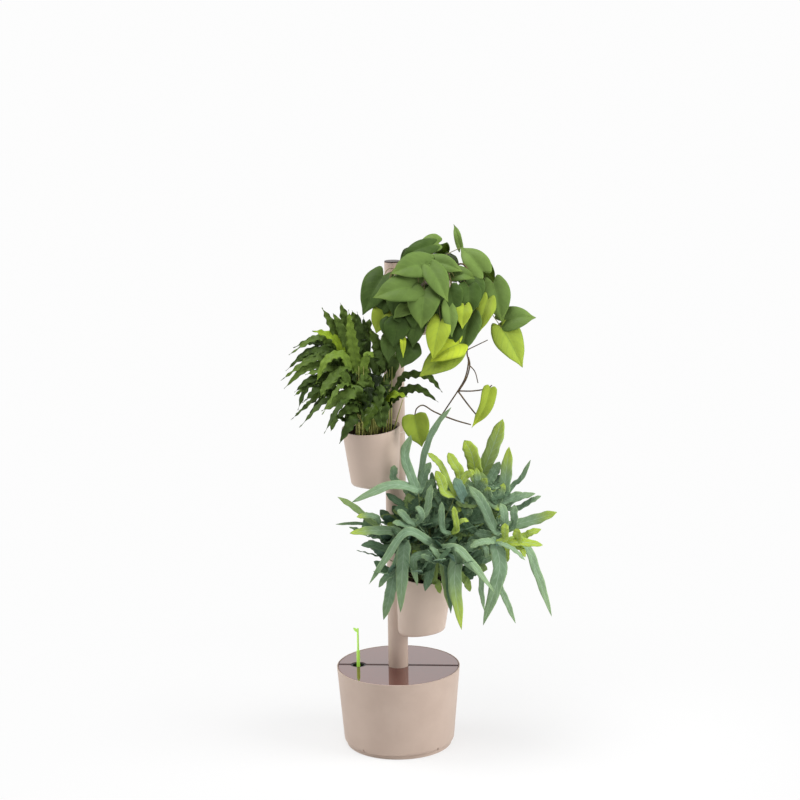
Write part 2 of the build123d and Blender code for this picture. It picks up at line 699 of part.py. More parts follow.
# Lance leaves: foot, bend, tip and width, then an upright clump
lance_leaves = [
    ([(-82, -13, 224), (-108, -23, 305)], 20),
    ([(-70, -18, 232), (-87, -23, 292)], 18),
    ([(-61, 7, 233), (-65, 7, 311)], 20),
    ([(-42, -33, 195), (-43, -38, 304)], 16),
    ([(-85, -23, 224), (-138, -43, 252)], 18),
    ([(-101, -3, 217), (-127, -13, 229), (-188, -23, 193)], 18),
    ([(-84, 7, 200), (-154, 7, 214)], 16),
    ([(-101, -13, 201), (-184, -23, 171)], 18),
    ([(-101, -23, 184), (-142, -33, 180), (-207, -43, 137)], 20),
    ([(-67, -43, 194), (-100, -63, 186), (-125, -73, 134)], 20),
    ([(-114, -28, 138), (-177, -43, 100)], 20),
    ([(-121, -33, 130), (-147, -43, 121), (-169, -53, 68)], 18),
    ([(-119, -43, 115), (-149, -53, 91)], 18),
    ([(-92, -13, 105), (-147, -23, 47)], 12),
    ([(-71, -53, 155), (-101, -73, 129), (-115, -83, 102)], 20),
    ([(-66, -63, 100), (-116, -83, 68)], 24),
    ([(-85, -53, 53), (-130, -73, 27)], 18),
    ([(-87, -73, 55), (-92, -83, 24)], 16),
    ([(-56, -68, 37), (-71, -83, -6)], 16),
    ([(65, 27, 132), (128, 17, 127), (160, 17, 99)], 18),
    ([(54, 7, 101), (90, -8, 107), (132, -13, 90)], 18),
    ([(38, -13, 84), (81, -33, 95)], 16),
    ([(19, -53, 85), (-2, -73, 62), (-20, -78, 21)], 24),
]
lances = Plant(middle_azimuth, shoulder_base + pitch)
for points, width in lance_leaves:
    lances.lobe(lances.root(points[0]), points, width)
clump_count = 26
arch_count = 16
for i in range(clump_count):
    grown = (i + 0.5) / clump_count
    azimuth = (i * golden + 60) % 360
    near = abs((azimuth - lances.to_column + 180) % 360 - 180) < 40
    reach = 20 + 55 * grown
    rise = 175 - 60 * grown - (40 if near else 0)
    foot = polar(azimuth, reach * (0.4 if near else 0.6), rise * 0.55)
    lances.lobe(lances.root(foot), [foot, polar(azimuth, reach * (0.6 if near else 1), rise)], 22)
# Leaves that arch to the front and the back
for i in range(arch_count):
    azimuth = -165 + 15 * i if i < 9 else 90 + 18 * (i - 8)
    reach = 105 + 20 * (i % 3)
    rise = 150 - 35 * (i % 3)
    foot = polar(azimuth, reach * 0.45, rise)
    bend = polar(azimuth, reach * 0.8, rise + 12)
    lances.lobe(lances.root(foot), [foot, bend, polar(azimuth, reach * 1.3, rise - 45)], 20)
cad["middle_leaves"] = lances.solid()

# Heart leaves: foot, tip and width
heart_leaves = [
    ((-89, -23, 5), (-148, -53, -75), 66),
    ((-7, -83, -5), (-118, -113, -28), 66),
    ((9, -58, 41), (-84, -98, 19), 58),
    ((10, -73, 39), (54, -98, -36), 46),
    ((13, -18, 38), (90, -38, 16), 40),
    ((0, -83, -19), (-6, -106, -99), 68),
    ((25, 7, 86), (-48, -13, 44), 40),
    ((49, 32, 66), (3, 47, 83), 40),
    ((137, -23, 15), (86, 12, 67), 50),
    ((56, -43, 27), (117, -58, 4), 32),
    ((107, -28, -4), (123, -48, -67), 44),
    ((148, 7, -2), (176, -13, -103), 52),
    ((155, -23, -35), (133, -53, -114), 34),
    ((175, 7, -109), (260, -3, -104), 52),
    ((172, -3, -119), (218, -23, -211), 60),
    ((31, -88, -86), (14, -108, -173), 54),
    ((86, -73, -138), (14, -98, -172), 48),
    ((81, -63, -161), (-9, -88, -217), 56),
    ((103, -43, -78), (90, -63, -174), 56),
    ((86, -78, -47), (79, -88, -103), 32),
    ((56, -83, -48), (62, -88, -126), 36),
    ((-29, -80, -84), (-68, -84, -145), 50),
    ((-36, -74, -146), (-62, -80, -198), 58),
    ((-22, -80, -106), (-25, -88, -161), 40),
    ((-68, -48, -129), (-81, -60, -187), 40),
    ((-50, -83, -125), (-50, -93, -172), 15),
    ((-76, -43, -62), (-93, -60, -112), 46),
    ((-30, -76, -56), (-72, -82, -82), 32),
    ((86, 14, 66), (72, 32, 119), 18),
    ((46, 92, 34), (76, 162, -36), 60),
    ((-14, 92, 44), (-44, 162, -16), 60),
    ((96, 82, -6), (156, 122, -76), 56),
    ((30, 60, 72), (60, 110, 52), 50),
    ((120, 40, 22), (170, 70, -28), 54),
]
rim_above_soil = soil_drop / leaf_unit
hearts = Plant(upper_azimuth, shoulder_base + 2 * pitch)
rim_out = bucket_rim_radius / leaf_unit + rim_clearance
for foot, tip, width in heart_leaves:
    out = math.hypot(foot[0], foot[1])
    if foot[2] > rim_above_soil + 12:
        over = (foot[0] * 0.6, foot[1] * 0.6, foot[2] / 2 + 22)
    else:
        wide = max(0.8 * out, rim_out) / out
        over = (foot[0] * wide, foot[1] * wide, max(rim_above_soil + 32, foot[2] + 15))
    facing = (0, -0.8 if foot[1] < 0 else 0.8, 0.6)
    third = share(foot, tip, 0.3)
    late = share(foot, tip, 0.7)
    spine = [hearts.root(foot), over, foot, third, late, tip]
    hearts.add(spine, [stalk_width, 5, width, width * 0.7], facing)
cad["upper_leaves"] = hearts.solid()

# Bare stems that hang from the heart-leaf plant, each ending in one leaf
vines = Plant(upper_azimuth, shoulder_base + 2 * pitch)
vines.add([
    (36, -17, -root_depth), (104, -50, 49), (118, -62, -58), (98, -58, -162), (101, -56, -191),
    (93, -53, -229), (76, -50, -260), (59, -48, -286), (38, -46, -318), (17, -48, -307), (-5, -50, -293),
    (-28, -52, -310), (-25, -54, -328), (-20, -55, -360), (-14, -56, -386),
], [stalk_width] * 11 + [46, 36], (0, -1, 2))
vines.add([
    (75, -50, -260), (111, -43, -260), (156, -37, -248), (142, -37, -278), (124, -38, -316), (106, -38, -349),
], [stalk_width, stalk_width, 26, 22], (0, -1, 2))
cad["upper_vine"] = vines.solid()

for name, shape in cad.items():
    export_step(shape, f"parts/{name}.step")
    box = shape.bounding_box()
    print(name, len(shape.solids()), [round(v, 1) for v in (*box.min, *box.max)])
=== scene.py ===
import math
import random
import bmesh
import bpy
from mathutils import Matrix, Vector, noise


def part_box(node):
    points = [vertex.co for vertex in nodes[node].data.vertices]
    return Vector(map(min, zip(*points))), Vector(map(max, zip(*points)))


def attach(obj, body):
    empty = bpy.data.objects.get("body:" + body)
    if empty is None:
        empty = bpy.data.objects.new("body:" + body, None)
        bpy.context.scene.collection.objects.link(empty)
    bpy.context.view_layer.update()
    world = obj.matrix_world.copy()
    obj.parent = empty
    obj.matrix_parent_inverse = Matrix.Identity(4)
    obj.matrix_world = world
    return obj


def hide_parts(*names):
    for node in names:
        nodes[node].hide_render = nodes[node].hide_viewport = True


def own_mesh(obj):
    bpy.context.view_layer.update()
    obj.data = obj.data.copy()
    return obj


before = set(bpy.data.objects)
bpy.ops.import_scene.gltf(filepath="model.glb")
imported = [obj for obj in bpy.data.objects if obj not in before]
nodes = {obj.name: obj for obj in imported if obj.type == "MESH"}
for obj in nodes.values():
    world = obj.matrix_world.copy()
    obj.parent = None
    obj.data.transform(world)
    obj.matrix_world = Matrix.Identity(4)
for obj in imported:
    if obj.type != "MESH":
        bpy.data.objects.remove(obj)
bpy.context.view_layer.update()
print("frame loaded,", len(nodes), "nodes")

mm = 0.001
fullTurn = 6.2832  # radians
frontTurn = math.radians(4.2)  # the camera looks along the object's +Y, turned by this much
asSeen = Matrix.Rotation(frontTurn, 3, "Z")


def srgb(red, green, blue):
    linear = []
    for value in (red, green, blue):
        share = value / 255
        linear.append(share / 12.92 if share <= 0.04045 else ((share + 0.055) / 1.055) ** 2.4)
    return (*linear, 1.0)


# Shader maths: a wire is a socket that can be added, scaled and so on
class Wire:
    def __init__(self, paint, socket):
        self.paint = paint
        self.socket = socket

    def maths(self, operation, one, two=0.0):
        return self.paint.node("ShaderNodeMath", {"operation": operation}, {0: one, 1: two})

    def __add__(self, other):
        return self.maths("ADD", self, other)

    def __radd__(self, other):
        return self.maths("ADD", other, self)

    def __sub__(self, other):
        return self.maths("SUBTRACT", self, other)

    def __rsub__(self, other):
        return self.maths("SUBTRACT", other, self)

    def __mul__(self, other):
        return self.maths("MULTIPLY", self, other)

    def __rmul__(self, other):
        return self.maths("MULTIPLY", other, self)

    def __abs__(self):
        return self.maths("ABSOLUTE", self)

    def sine(self):
        return self.maths("SINE", self)

    def larger(self, other):
        return self.maths("MAXIMUM", self, other)

    def fade(self, low, high):  # 0 below low, 1 above high, smooth between; low may be the larger
        if low > high:
            return 1 - self.fade(high, low)
        settings = {"interpolation_type": "SMOOTHSTEP", "clamp": True}
        sockets = {"Value": self, "From Min": low, "From Max": high}
        return self.paint.node("ShaderNodeMapRange", settings, sockets)


class Paint:
    def __init__(self, name, constants=None, world=None):
        self.owner = world or bpy.data.materials.new(name)
        self.owner.use_nodes = True
        self.tree = self.owner.node_tree
        self.shader = self.tree.nodes.get("Principled BSDF")
        for socket, value in (constants or {}).items():
            self.shader.inputs[socket].default_value = value

    def plug(self, socket, value):
        if isinstance(value, Wire):
            self.tree.links.new(value.socket, socket)
        else:
            socket.default_value = value

    def node(self, kind, settings=None, sockets=None, output=0):
        made = self.tree.nodes.new(kind)
        for key, value in (settings or {}).items():
            setattr(made, key, value)
        for key, value in (sockets or {}).items():
            self.plug(made.inputs[key], value)
        return Wire(self, made.outputs[output])

    def set(self, **sockets):
        for key, value in sockets.items():
            self.plug(self.shader.inputs[key.replace("_", " ")], value)
        return self

    def place(self):
        return self.node("ShaderNodeTexCoord", output="Object")

    def value(self, name):
        return self.node("ShaderNodeAttribute", {"attribute_name": name}, output="Fac")

    def grain(self, scale, detail=3.0, rough=0.5, stretch=None):
        where = self.place()
        if stretch:
            where = self.node("ShaderNodeMapping", None, {"Vector": where, "Scale": stretch})
        sockets = {"Vector": where, "Scale": scale, "Detail": detail, "Roughness": rough}
        return self.node("ShaderNodeTexNoise", None, sockets)

    def cells(self, scale):
        return self.node("ShaderNodeTexVoronoi", None, {"Vector": self.place(), "Scale": scale})

    def mix(self, share, one, two):
        settings = {"data_type": "RGBA", "clamp_factor": True}
        return self.node("ShaderNodeMix", settings, {"Factor": share, 6: one, 7: two}, 2)

    def bump(self, height, strength, distance):
        sockets = {"Height": height, "Strength": strength, "Distance": distance}
        return self.node("ShaderNodeBump", None, sockets)

    def axis(self, name):
        return self.node("ShaderNodeSeparateXYZ", None, {0: self.place()}, name)


# Moulded plastics and the other plain finishes of the planter. A look can change any of these.
mouldedLook = {
    "cloud": 14.0, "cloudShow": 0.6, "grain": 1500.0, "grainShow": 0.3, "roughSpread": 0.08,
    "grainRough": 0.06, "bump": 0.08, "bumpDepth": 0.0004, "constants": {"IOR": 1.47},
}
scuffLook = {"scale": 60.0, "stretch": (1.0, 1.0, 0.25), "from": 0.62, "to": 0.78, "fade": 0.03, "show": 0.35}
seamLook = {"fade": 0.001, "rough": 0.4}


def mouldedPaint(name, changes):
    look = {**mouldedLook, **changes}
    paint = Paint(name, look["constants"])
    cloud = paint.grain(look["cloud"], 4.0, 0.6)
    fine = paint.grain(look["grain"], 2.0, 0.6)
    spread = cloud.fade(0.3, 0.7) * look["cloudShow"] + fine * look["grainShow"]
    colour = paint.mix(spread, srgb(*look["low"]), srgb(*look["high"]))
    if "scuff" in look:  # fine pale rubs below this height
        rub = paint.grain(scuffLook["scale"], 5.0, 0.7, scuffLook["stretch"])
        rub = rub.fade(scuffLook["from"], scuffLook["to"])
        foot = paint.axis("Z").fade(look["scuff"], look["scuff"] - scuffLook["fade"])
        colour = paint.mix(rub * foot * scuffLook["show"], colour, srgb(*look["rubbed"]))
    rough = look["rough"] + (cloud - 0.5) * look["roughSpread"] + (fine - 0.5) * look["grainRough"]
    if "seam" in look:  # matt strip along both edges of the lid's split
        strip = abs(paint.axis("Y")).fade(look["seam"], look["seam"] - seamLook["fade"])
        colour = paint.mix(strip, colour, srgb(*look["strip"]))
        rough = rough + strip * seamLook["rough"]
        paint.set(Coat_Weight=(1 - strip) * look["coat"])
    normal = paint.bump(fine, look["bump"], look["bumpDepth"])
    return paint.set(Base_Color=colour, Roughness=rough, Normal=normal).owner


taupeLook = {
    "low": (186, 165, 151), "high": (196, 176, 162), "rubbed": (214, 199, 187), "rough": 0.5,
    "scuff": 0.05, "constants": {"IOR": 1.48, "Specular IOR Level": 0.45},
}
# The storeys are the tank's taupe plastic painted a little lighter: painted light that makes up for the shade
# the leaves cast on the pots.
storeyLitLook = {**taupeLook, "low": (196, 175, 160), "high": (206, 186, 171), "scuff": 0.0}
lidLook = {
    "low": (82, 38, 31), "high": (97, 47, 40), "rough": 0.06, "roughSpread": 0.05, "bump": 0.006,
    "cloud": 7.0, "seam": 0.007, "strip": (58, 28, 24), "coat": 0.9,
    "constants": {
        "IOR": 1.6, "Specular Tint": (1.0, 0.8, 0.78, 1.0), "Coat Roughness": 0.04, "Coat IOR": 1.5,
        "Coat Tint": (1.0, 0.9, 0.88, 1.0),
    },
}
charcoalLook = {"low": (38, 38, 39), "high": (52, 52, 53), "rough": 0.55, "bump": 0.15}
capLook = {"low": (52, 42, 38), "high": (66, 54, 49), "rough": 0.42, "bump": 0.1}
greyLook = {"low": (168, 170, 170), "high": (184, 186, 185), "rough": 0.42}
nylonLook = {"low": (216, 212, 200), "high": (230, 227, 217), "rough": 0.4, "constants": {"IOR": 1.5}}
hoseLook = {
    "low": (188, 194, 192), "high": (208, 213, 210), "rough": 0.28, "cloud": 30.0,
    "constants": {"IOR": 1.42, "Coat Weight": 0.2},
}
leadLook = {
    "low": (28, 28, 29), "high": (40, 40, 41), "rough": 0.5, "bump": 0.2, "constants": {"IOR": 1.5},
}
# Sprout green, brightened and given a faint glow: painted light that lifts its shaded side.
sproutLook = {
    "low": (182, 238, 84), "high": (204, 249, 116), "rough": 0.3, "cloud": 40.0,
    "constants": {
        "IOR": 1.49, "Coat Weight": 0.25, "Coat Roughness": 0.15, "Emission Color": srgb(170, 240, 80),
        "Emission Strength": 0.22,
    },
}


def foamPaint(name, look):
    paint = Paint(name, {"IOR": 1.4})
    pores = paint.cells(look["scale"]).fade(0.1, 0.6)
    colour = paint.mix(pores, srgb(*look["pore"]), srgb(*look["skin"]))
    normal = paint.bump(pores, 0.7, 0.0008)
    return paint.set(Base_Color=colour, Roughness=0.9 - pores * 0.1, Normal=normal).owner


spongeLook = {"scale": 520.0, "pore": (20, 26, 34), "skin": (48, 60, 74)}
floatLook = {"scale": 380.0, "pore": (206, 206, 200), "skin": (240, 240, 236)}


def steelPaint(name, look):
    paint = Paint(name, {"Metallic": 1.0, "IOR": 2.5})
    brushed = paint.grain(900.0, 3.0, 0.6, look["brush"])
    colour = paint.mix(brushed, srgb(*look["low"]), srgb(*look["high"]))
    rough = look["rough"] + brushed * look["brushRough"]
    return paint.set(Base_Color=colour, Roughness=rough, Normal=paint.bump(brushed, 0.05, 0.0003)).owner


steelLook = {
    "low": (150, 150, 148), "high": (200, 200, 198), "rough": 0.22, "brushRough": 0.15, "brush": (1, 1, 0.1),
}
# Cells with a copper sleeve towards the button end, from bandStart to bandFull along X
cellLook = {
    "bandStart": 0.0935, "bandFull": 0.0945, "dark": (28, 28, 30), "darkWorn": (40, 40, 43),
    "copper": (176, 112, 62), "copperWorn": (196, 132, 80), "metal": 0.7, "rough": 0.3,
}


def cellPaint(name, look):
    paint = Paint(name, {"IOR": 1.5, "Coat Weight": 0.4})
    band = paint.axis("X").fade(look["bandStart"], look["bandFull"])
    worn = paint.grain(80.0, 4.0)
    dark = paint.mix(worn, srgb(*look["dark"]), srgb(*look["darkWorn"]))
    copper = paint.mix(worn, srgb(*look["copper"]), srgb(*look["copperWorn"]))
    colour = paint.mix(band, dark, copper)
    return paint.set(
        Base_Color=colour, Metallic=band * look["metal"], Roughness=look["rough"] + worn * 0.1
    ).owner


storeys = ["lower", "middle", "upper"]


def perStorey(kind):
    return [storey + "_" + kind for storey in storeys]


# How each finish is painted, and the nodes that have it
finishes = {
    "taupeMoulded": (mouldedPaint, taupeLook, ["base_tank", "foot_plate", "column_stub"]),
    "storeyMoulded": (mouldedPaint, storeyLitLook, perStorey("module")),
    "lidGlossBrown": (mouldedPaint, lidLook, ["front_lid", "rear_lid"]),
    "charcoalMoulded": (mouldedPaint, charcoalLook, [
        *perStorey("grow_pot"), *perStorey("strainer"), "pump_housing", "pump_cover", "pump_feet",
        "float_well",
    ]),
    "capDarkBrown": (mouldedPaint, capLook, ["top_cap", "cross_rail"]),
    "timerGrey": (mouldedPaint, greyLook, ["timer_case", "timer_cover", "pump_impeller"]),
    "nylonWhite": (mouldedPaint, nylonLook, [
        *perStorey("washer"), "riser_elbow", "lower_coupler", "middle_coupler", "water_spreader",
    ]),
    "hoseMilky": (mouldedPaint, hoseLook, ["pump_hose", *perStorey("riser")]),
    "leadRubber": (mouldedPaint, leadLook, ["pump_lead", "timer_button"]),
    "sproutGreen": (mouldedPaint, sproutLook, ["level_sprout", "level_tube"]),
    "filterSponge": (foamPaint, spongeLook, ["pump_filter"]),
    "floatFoam": (foamPaint, floatLook, ["level_float"]),
    "zincSteel": (steelPaint, steelLook, ["stub_screws", "timer_screws", "pump_shaft"]),
    "cellWrap": (cellPaint, cellLook, ["battery_cells"]),
}
for finish, (paintOf, look, names) in finishes.items():
    material = paintOf(finish, look)
    for name in names:
        mesh = nodes[name].data
        mesh.materials.clear()
        mesh.materials.append(material)
print(len(finishes), "planter finishes made")


# Mesh helpers
def addObject(name, data):
    made = bpy.data.objects.new(name, data)
    bpy.context.scene.collection.objects.link(made)
    return made


def addPiece(name, verts, faces, materials, values=None):
    mesh = bpy.data.meshes.new(name)
    mesh.from_pydata(verts, [], faces)
    for material in materials:
        mesh.materials.append(material)
    for key, numbers in (values or {}).items():
        mesh.attributes.new(key, "FLOAT", "POINT").data.foreach_set("value", numbers)
    mesh.polygons.foreach_set("use_smooth", [True] * len(mesh.polygons))
    mesh.update()
    return addObject(name, mesh)


def curveThrough(points, steps):
    # Catmull-Rom through the points, evenly numbered
    ends = [points[0] * 2 - points[1], *points, points[-1] * 2 - points[-2]]
    spans = len(points) - 1
    path = []
    for i in range(steps + 1):
        place = min(i * spans / steps, spans - 1e-6)
        k = int(place)
        u = place - k
        a, b, c, d = ends[k:k + 4]
        bend = (2 * a - 5 * b + 4 * c - d) * u * u
        sway = (3 * b - a - 3 * c + d) * u ** 3
        path.append(0.5 * (2 * b + (c - a) * u + bend + sway))
    return path


def smoothstep(low, high, value):
    u = min(1.0, max(0.0, (value - low) / (high - low)))
    return u * u * (3 - 2 * u)


# Potting soil: the soil's own body, re-meshed, with a crumbly top and loose crumbs
soilLook = {
    "voxel": 0.0032, "lumps": 0.0045, "lumpScale": 70, "crumbs": 70, "crumb": (0.0012, 0.0042), "seed": 11,
    "wet": (24, 17, 12), "dry": (70, 52, 38), "bit": (150, 132, 108),
}


def soilPaint(name, look):
    paint = Paint(name, {"IOR": 1.4, "Specular IOR Level": 0.2})
    clods = paint.grain(140.0, 6.0, 0.7)
    bits = paint.cells(330.0).fade(0.34, 0.2)
    pick = paint.grain(210.0, 1.0).fade(0.6, 0.64)  # only some of the cells are pale bits
    earth = paint.mix(clods.fade(0.3, 0.75), srgb(*look["wet"]), srgb(*look["dry"]))
    colour = paint.mix(bits * pick, earth, srgb(*look["bit"]))
    normal = paint.bump(clods, 0.8, 0.002)
    return paint.set(Base_Color=colour, Roughness=0.95 - bits * 0.1, Normal=normal).owner


soilEarth = soilPaint("pottingSoil", soilLook)


def makeSoil(nodeName, body, seed):
    rng = random.Random(seed)
    earth = addObject(nodeName + "_earth", nodes[nodeName].data.copy())
    remesh = earth.modifiers.new("crumb", "REMESH")
    remesh.mode = "VOXEL"
    remesh.voxel_size = soilLook["voxel"]
    bpy.context.view_layer.update()
    depsgraph = bpy.context.evaluated_depsgraph_get()
    shaped = bpy.data.meshes.new_from_object(earth.evaluated_get(depsgraph))
    earth.modifiers.clear()
    earth.data = shaped
    built = bmesh.new()
    built.from_mesh(shaped)
    built.normal_update()
    offset = Vector((seed * 3.1, 0, 0))
    tops = []
    for vert in built.verts:
        if vert.normal.z > 0.8:
            tops.append(vert.co.copy())
            lump = noise.fractal(vert.co * soilLook["lumpScale"] + offset, 0.8, 2.2, 4)
            vert.co.z += soilLook["lumps"] * max(-1.0, min(0.9, lump))
    for i in range(soilLook["crumbs"]):
        size = rng.uniform(*soilLook["crumb"])
        spot = rng.choice(tops) + Vector((0, 0, size * 0.4))
        radii = [size * rng.uniform(0.6, 1.2) for k in range(3)]
        shape = Matrix.Translation(spot) @ Matrix.Diagonal((*radii, 1))
        made = bmesh.ops.create_icosphere(built, subdivisions=2, radius=1.0, matrix=shape)
        for vert in made["verts"]:
            vert.co = spot + (vert.co - spot) * rng.uniform(0.75, 1.2)
    built.to_mesh(shaped)
    built.free()
    shaped.materials.clear()
    shaped.materials.append(soilEarth)
    shaped.polygons.foreach_set("use_smooth", [True] * len(shaped.polygons))
    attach(earth, body)
    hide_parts(nodeName)


for number, storey in enumerate(storeys):
    makeSoil(storey + "_soil", storey + "_pot", soilLook["seed"] + number)
print("soil made in three pots")

crownDrop = 6.5  # leaf lists are about the middle of the soil, this far under its top, mm
leastHalf = 0.35  # half the width of a leaf at its very tip, mm


def between(one, two, part):
    return tuple(a + (b - a) * part for a, b in zip(one, two))


def polar(azimuth, reach, rise):
    turn = math.radians(azimuth)
    return reach * math.cos(turn), reach * math.sin(turn), rise


# Leaves. Each plant gathers its leaves in one mesh and its stalks in another.
class Foliage:
    def __init__(self, soilNode, seed, look):
        low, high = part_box(soilNode)
        middle = (low + high) / 2
        self.crown = asSeen.inverted() @ Vector((middle.x, middle.y, high.z - crownDrop * mm))
        self.rng = random.Random(seed)
        self.look = look
        self.verts = []
        self.faces = []
        self.values = {"along": [], "across": [], "lime": [], "shade": []}
        self.stalkVerts = []
        self.stalkFaces = []

    def at(self, point):
        return self.crown + Vector(point) * mm

    def root(self, point, out=10.0):  # where a stalk to this point leaves the soil
        flat = Vector(point[:2]).normalized() * out
        return Vector((flat.x, flat.y, -4.0))

    def knee(self, start, top):  # bend of a stalk, drawn in towards the middle
        part, inward, up = self.look["knee"]
        middle = between(start, top, part)
        return middle[0] * inward, middle[1] * inward, middle[2] * up

    def tinted(self, name):
        lime, limeTip, shade = self.look["tints"][name]
        spread = self.look["tintSpread"]
        shade += self.rng.uniform(-spread, spread)
        return lime, limeTip, min(1.0, max(0.0, shade))

    def sidesAlong(self, path, facing):
        # Tangent and sideways direction at each point, eased from one point to the next
        facing = Vector(facing).normalized()
        side = None
        sides = []
        for i in range(len(path)):
            tangent = (path[min(i + 1, len(path) - 1)] - path[max(i - 1, 0)]).normalized()
            across = facing.cross(tangent)
            if side is None or across.length > 0.4:
                new = across.normalized()
            else:
                new = (side - tangent * side.dot(tangent)).normalized()
            if side is not None:
                if new.dot(side) < 0:
                    new.negate()
                new = (side * 1.2 + new).normalized()
            side = new
            sides.append((tangent, side))
        return sides

    def leaf(self, points, width, facing, tint, **changes):
        look = {**self.look, **changes}
        lime, limeTip, shade = tint
        rows = look["rows"]
        cols = look["cols"]
        path = curveThrough([self.at(p) for p in points], rows)
        length = sum((b - a).length for a, b in zip(path, path[1:]))
        phase = self.rng.uniform(0, 6.28)
        turn = self.rng.uniform(-1, 1) * look["twist"]
        first = len(self.verts)
        for i, (tangent, side) in enumerate(self.sidesAlong(path, facing)):
            t = i / rows
            side = Matrix.Rotation(turn * (t - 0.3), 3, tangent) @ side
            up = tangent.cross(side).normalized()
            half = max(width * mm / 2 * look["profile"](t), leastHalf * mm)
            ruffle = look["wave"] * mm * smoothstep(0.0, 0.25, t) * (1 - smoothstep(0.85, 1.0, t) * 0.6)
            wave = fullTurn * look["waves"] * t + phase
            for j in range(cols + 1):
                s = 2 * j / cols - 1
                edge = abs(s)
                swing = math.sin(wave + (2.6 if s < 0 else 0))  # the two edges don't wave together
                lift = half * (look["fold"] * edge - look["curl"] * s * s) + ruffle * edge ** 1.6 * swing
                drawn = 1 + look["ruffleIn"] * edge * math.sin(wave + 1.5 * s)
                back = look["ear"] * length * math.sin(math.pi * edge) * (1 - t) ** 4
                spot = path[i] + side * (s * half * drawn) + up * lift - tangent * back
                self.verts.append(asSeen @ spot)
                self.values["along"].append(t)
                self.values["across"].append(s)
                self.values["lime"].append(min(1.0, lime + limeTip * smoothstep(0.6, 1.0, t)))
                self.values["shade"].append(shade)
        for i in range(rows):
            for j in range(cols):
                a = first + i * (cols + 1) + j
                self.faces.append((a, a + 1, a + cols + 2, a + cols + 1))

    def stalk(self, points, thick, thin, sides=7, steps=12):
        path = curveThrough([self.at(p) for p in points], steps)
        first = len(self.stalkVerts)
        side = Vector((0.3, 0.9, 0.1))
        for i, spot in enumerate(path):
            tangent = (path[min(i + 1, steps)] - path[max(i - 1, 0)]).normalized()
            side = (side - tangent * side.dot(tangent)).normalized()
            other = tangent.cross(side)
            radius = (thick + (thin - thick) * i / steps) * mm / 2
            for k in range(sides):
                angle = 2 * math.pi * k / sides
                around = side * math.cos(angle) + other * math.sin(angle)
                self.stalkVerts.append(asSeen @ (spot + around * radius))
        for i in range(steps):
            for k in range(sides):
                a = first + i * sides + k
                b = first + i * sides + (k + 1) % sides
                self.stalkFaces.append((a, b, b + sides, a + sides))
        self.stalkFaces.append(tuple(first + k for k in reversed(range(sides))))
        self.stalkFaces.append(tuple(first + steps * sides + k for k in range(sides)))

    def pieces(self, name, body, paints, slots, nodeName, lift=None):
        leaves = addPiece(name, self.verts, self.faces, paints[:2], self.values)
        solid = leaves.modifiers.new("thickness", "SOLIDIFY")
        solid.thickness = self.look["thick"] * mm
        solid.offset = 0.0
        solid.material_offset = 1
        stems = addPiece(name + "_stalks", self.stalkVerts, self.stalkFaces, paints[2:])
        for piece, slot in zip((leaves, stems), slots):
            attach(piece, body)
            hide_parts(nodeName)
            if lift:  # when its pot can be lifted, the plant gets a mesh of its own
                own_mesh(piece)


def leafPaint(name, look):
    paint = Paint(name, look["constants"])
    along = paint.value("along")
    edge = abs(paint.value("across"))
    lime = paint.value("lime")
    shade = paint.value("shade")
    blotch = paint.grain(look["blotch"], 4.0, 0.6)
    # Lightness of each leaf from its tint: partly its own tone, partly painted shade on leaves inside the
    # clump and painted light on leaves in full light.
    light = shade * 0.8 + (blotch - 0.5) * look["mottle"] + 0.06
    body = paint.mix(light, srgb(*look["deep"]), srgb(*look["fresh"]))
    body = paint.mix(lime + (blotch - 0.5) * 0.35 * lime, body, srgb(*look["lime"]))
    ribs = ((along * look["ribs"] - edge * look["ribSlant"]) * fullTurn).sine().fade(0.55, 1.0)
    clear = shade * 0.8 + 0.2  # veins and margins show less on dark leaves
    body = paint.mix(ribs * clear * look["ribShow"], body, srgb(*look["vein"]))
    body = paint.mix(edge.fade(0.82, 1.0) * clear * look["marginShow"], body, srgb(*look["margin"]))
    middle = edge.fade(look["midrib"], 0.0)
    body = paint.mix(middle * clear * look["midribShow"], body, srgb(*look["vein"]))
    fine = paint.grain(900.0, 2.0)
    height = ribs * 0.5 - middle + fine * look["fine"] + blotch * 0.4
    rough = look["rough"] + (blotch - 0.5) * 0.12 + ribs * 0.05
    return paint.set(Base_Color=body, Roughness=rough, Normal=paint.bump(height, look["bump"], 0.0012)).owner


def stalkPaint(name, look):
    paint = Paint(name, {"IOR": 1.45})
    streak = paint.grain(160.0, 4.0, 0.6, (1, 1, 0.2))
    colour = paint.mix(streak.fade(0.3, 0.7), srgb(*look["low"]), srgb(*look["high"]))
    normal = paint.bump(streak, 0.3, 0.0006)
    return paint.set(Base_Color=colour, Roughness=0.5 + streak * 0.15, Normal=normal).owner


def plantPaints(name, topLook, underChanges, stalkLook):
    top = leafPaint(name + "Leaf", topLook)
    under = leafPaint(name + "LeafUnder", {**topLook, **underChanges})
    return [top, under, stalkPaint(name + "Stalk", stalkLook)]


def strap(power):  # even width, closing over the last half; a higher power gives a blunter tip
    return lambda t: (0.6 + 0.4 * smoothstep(0.0, 0.4, t)) * (1 - max(0.0, (t - 0.5) / 0.5) ** power)


goldenAngle = 137.5

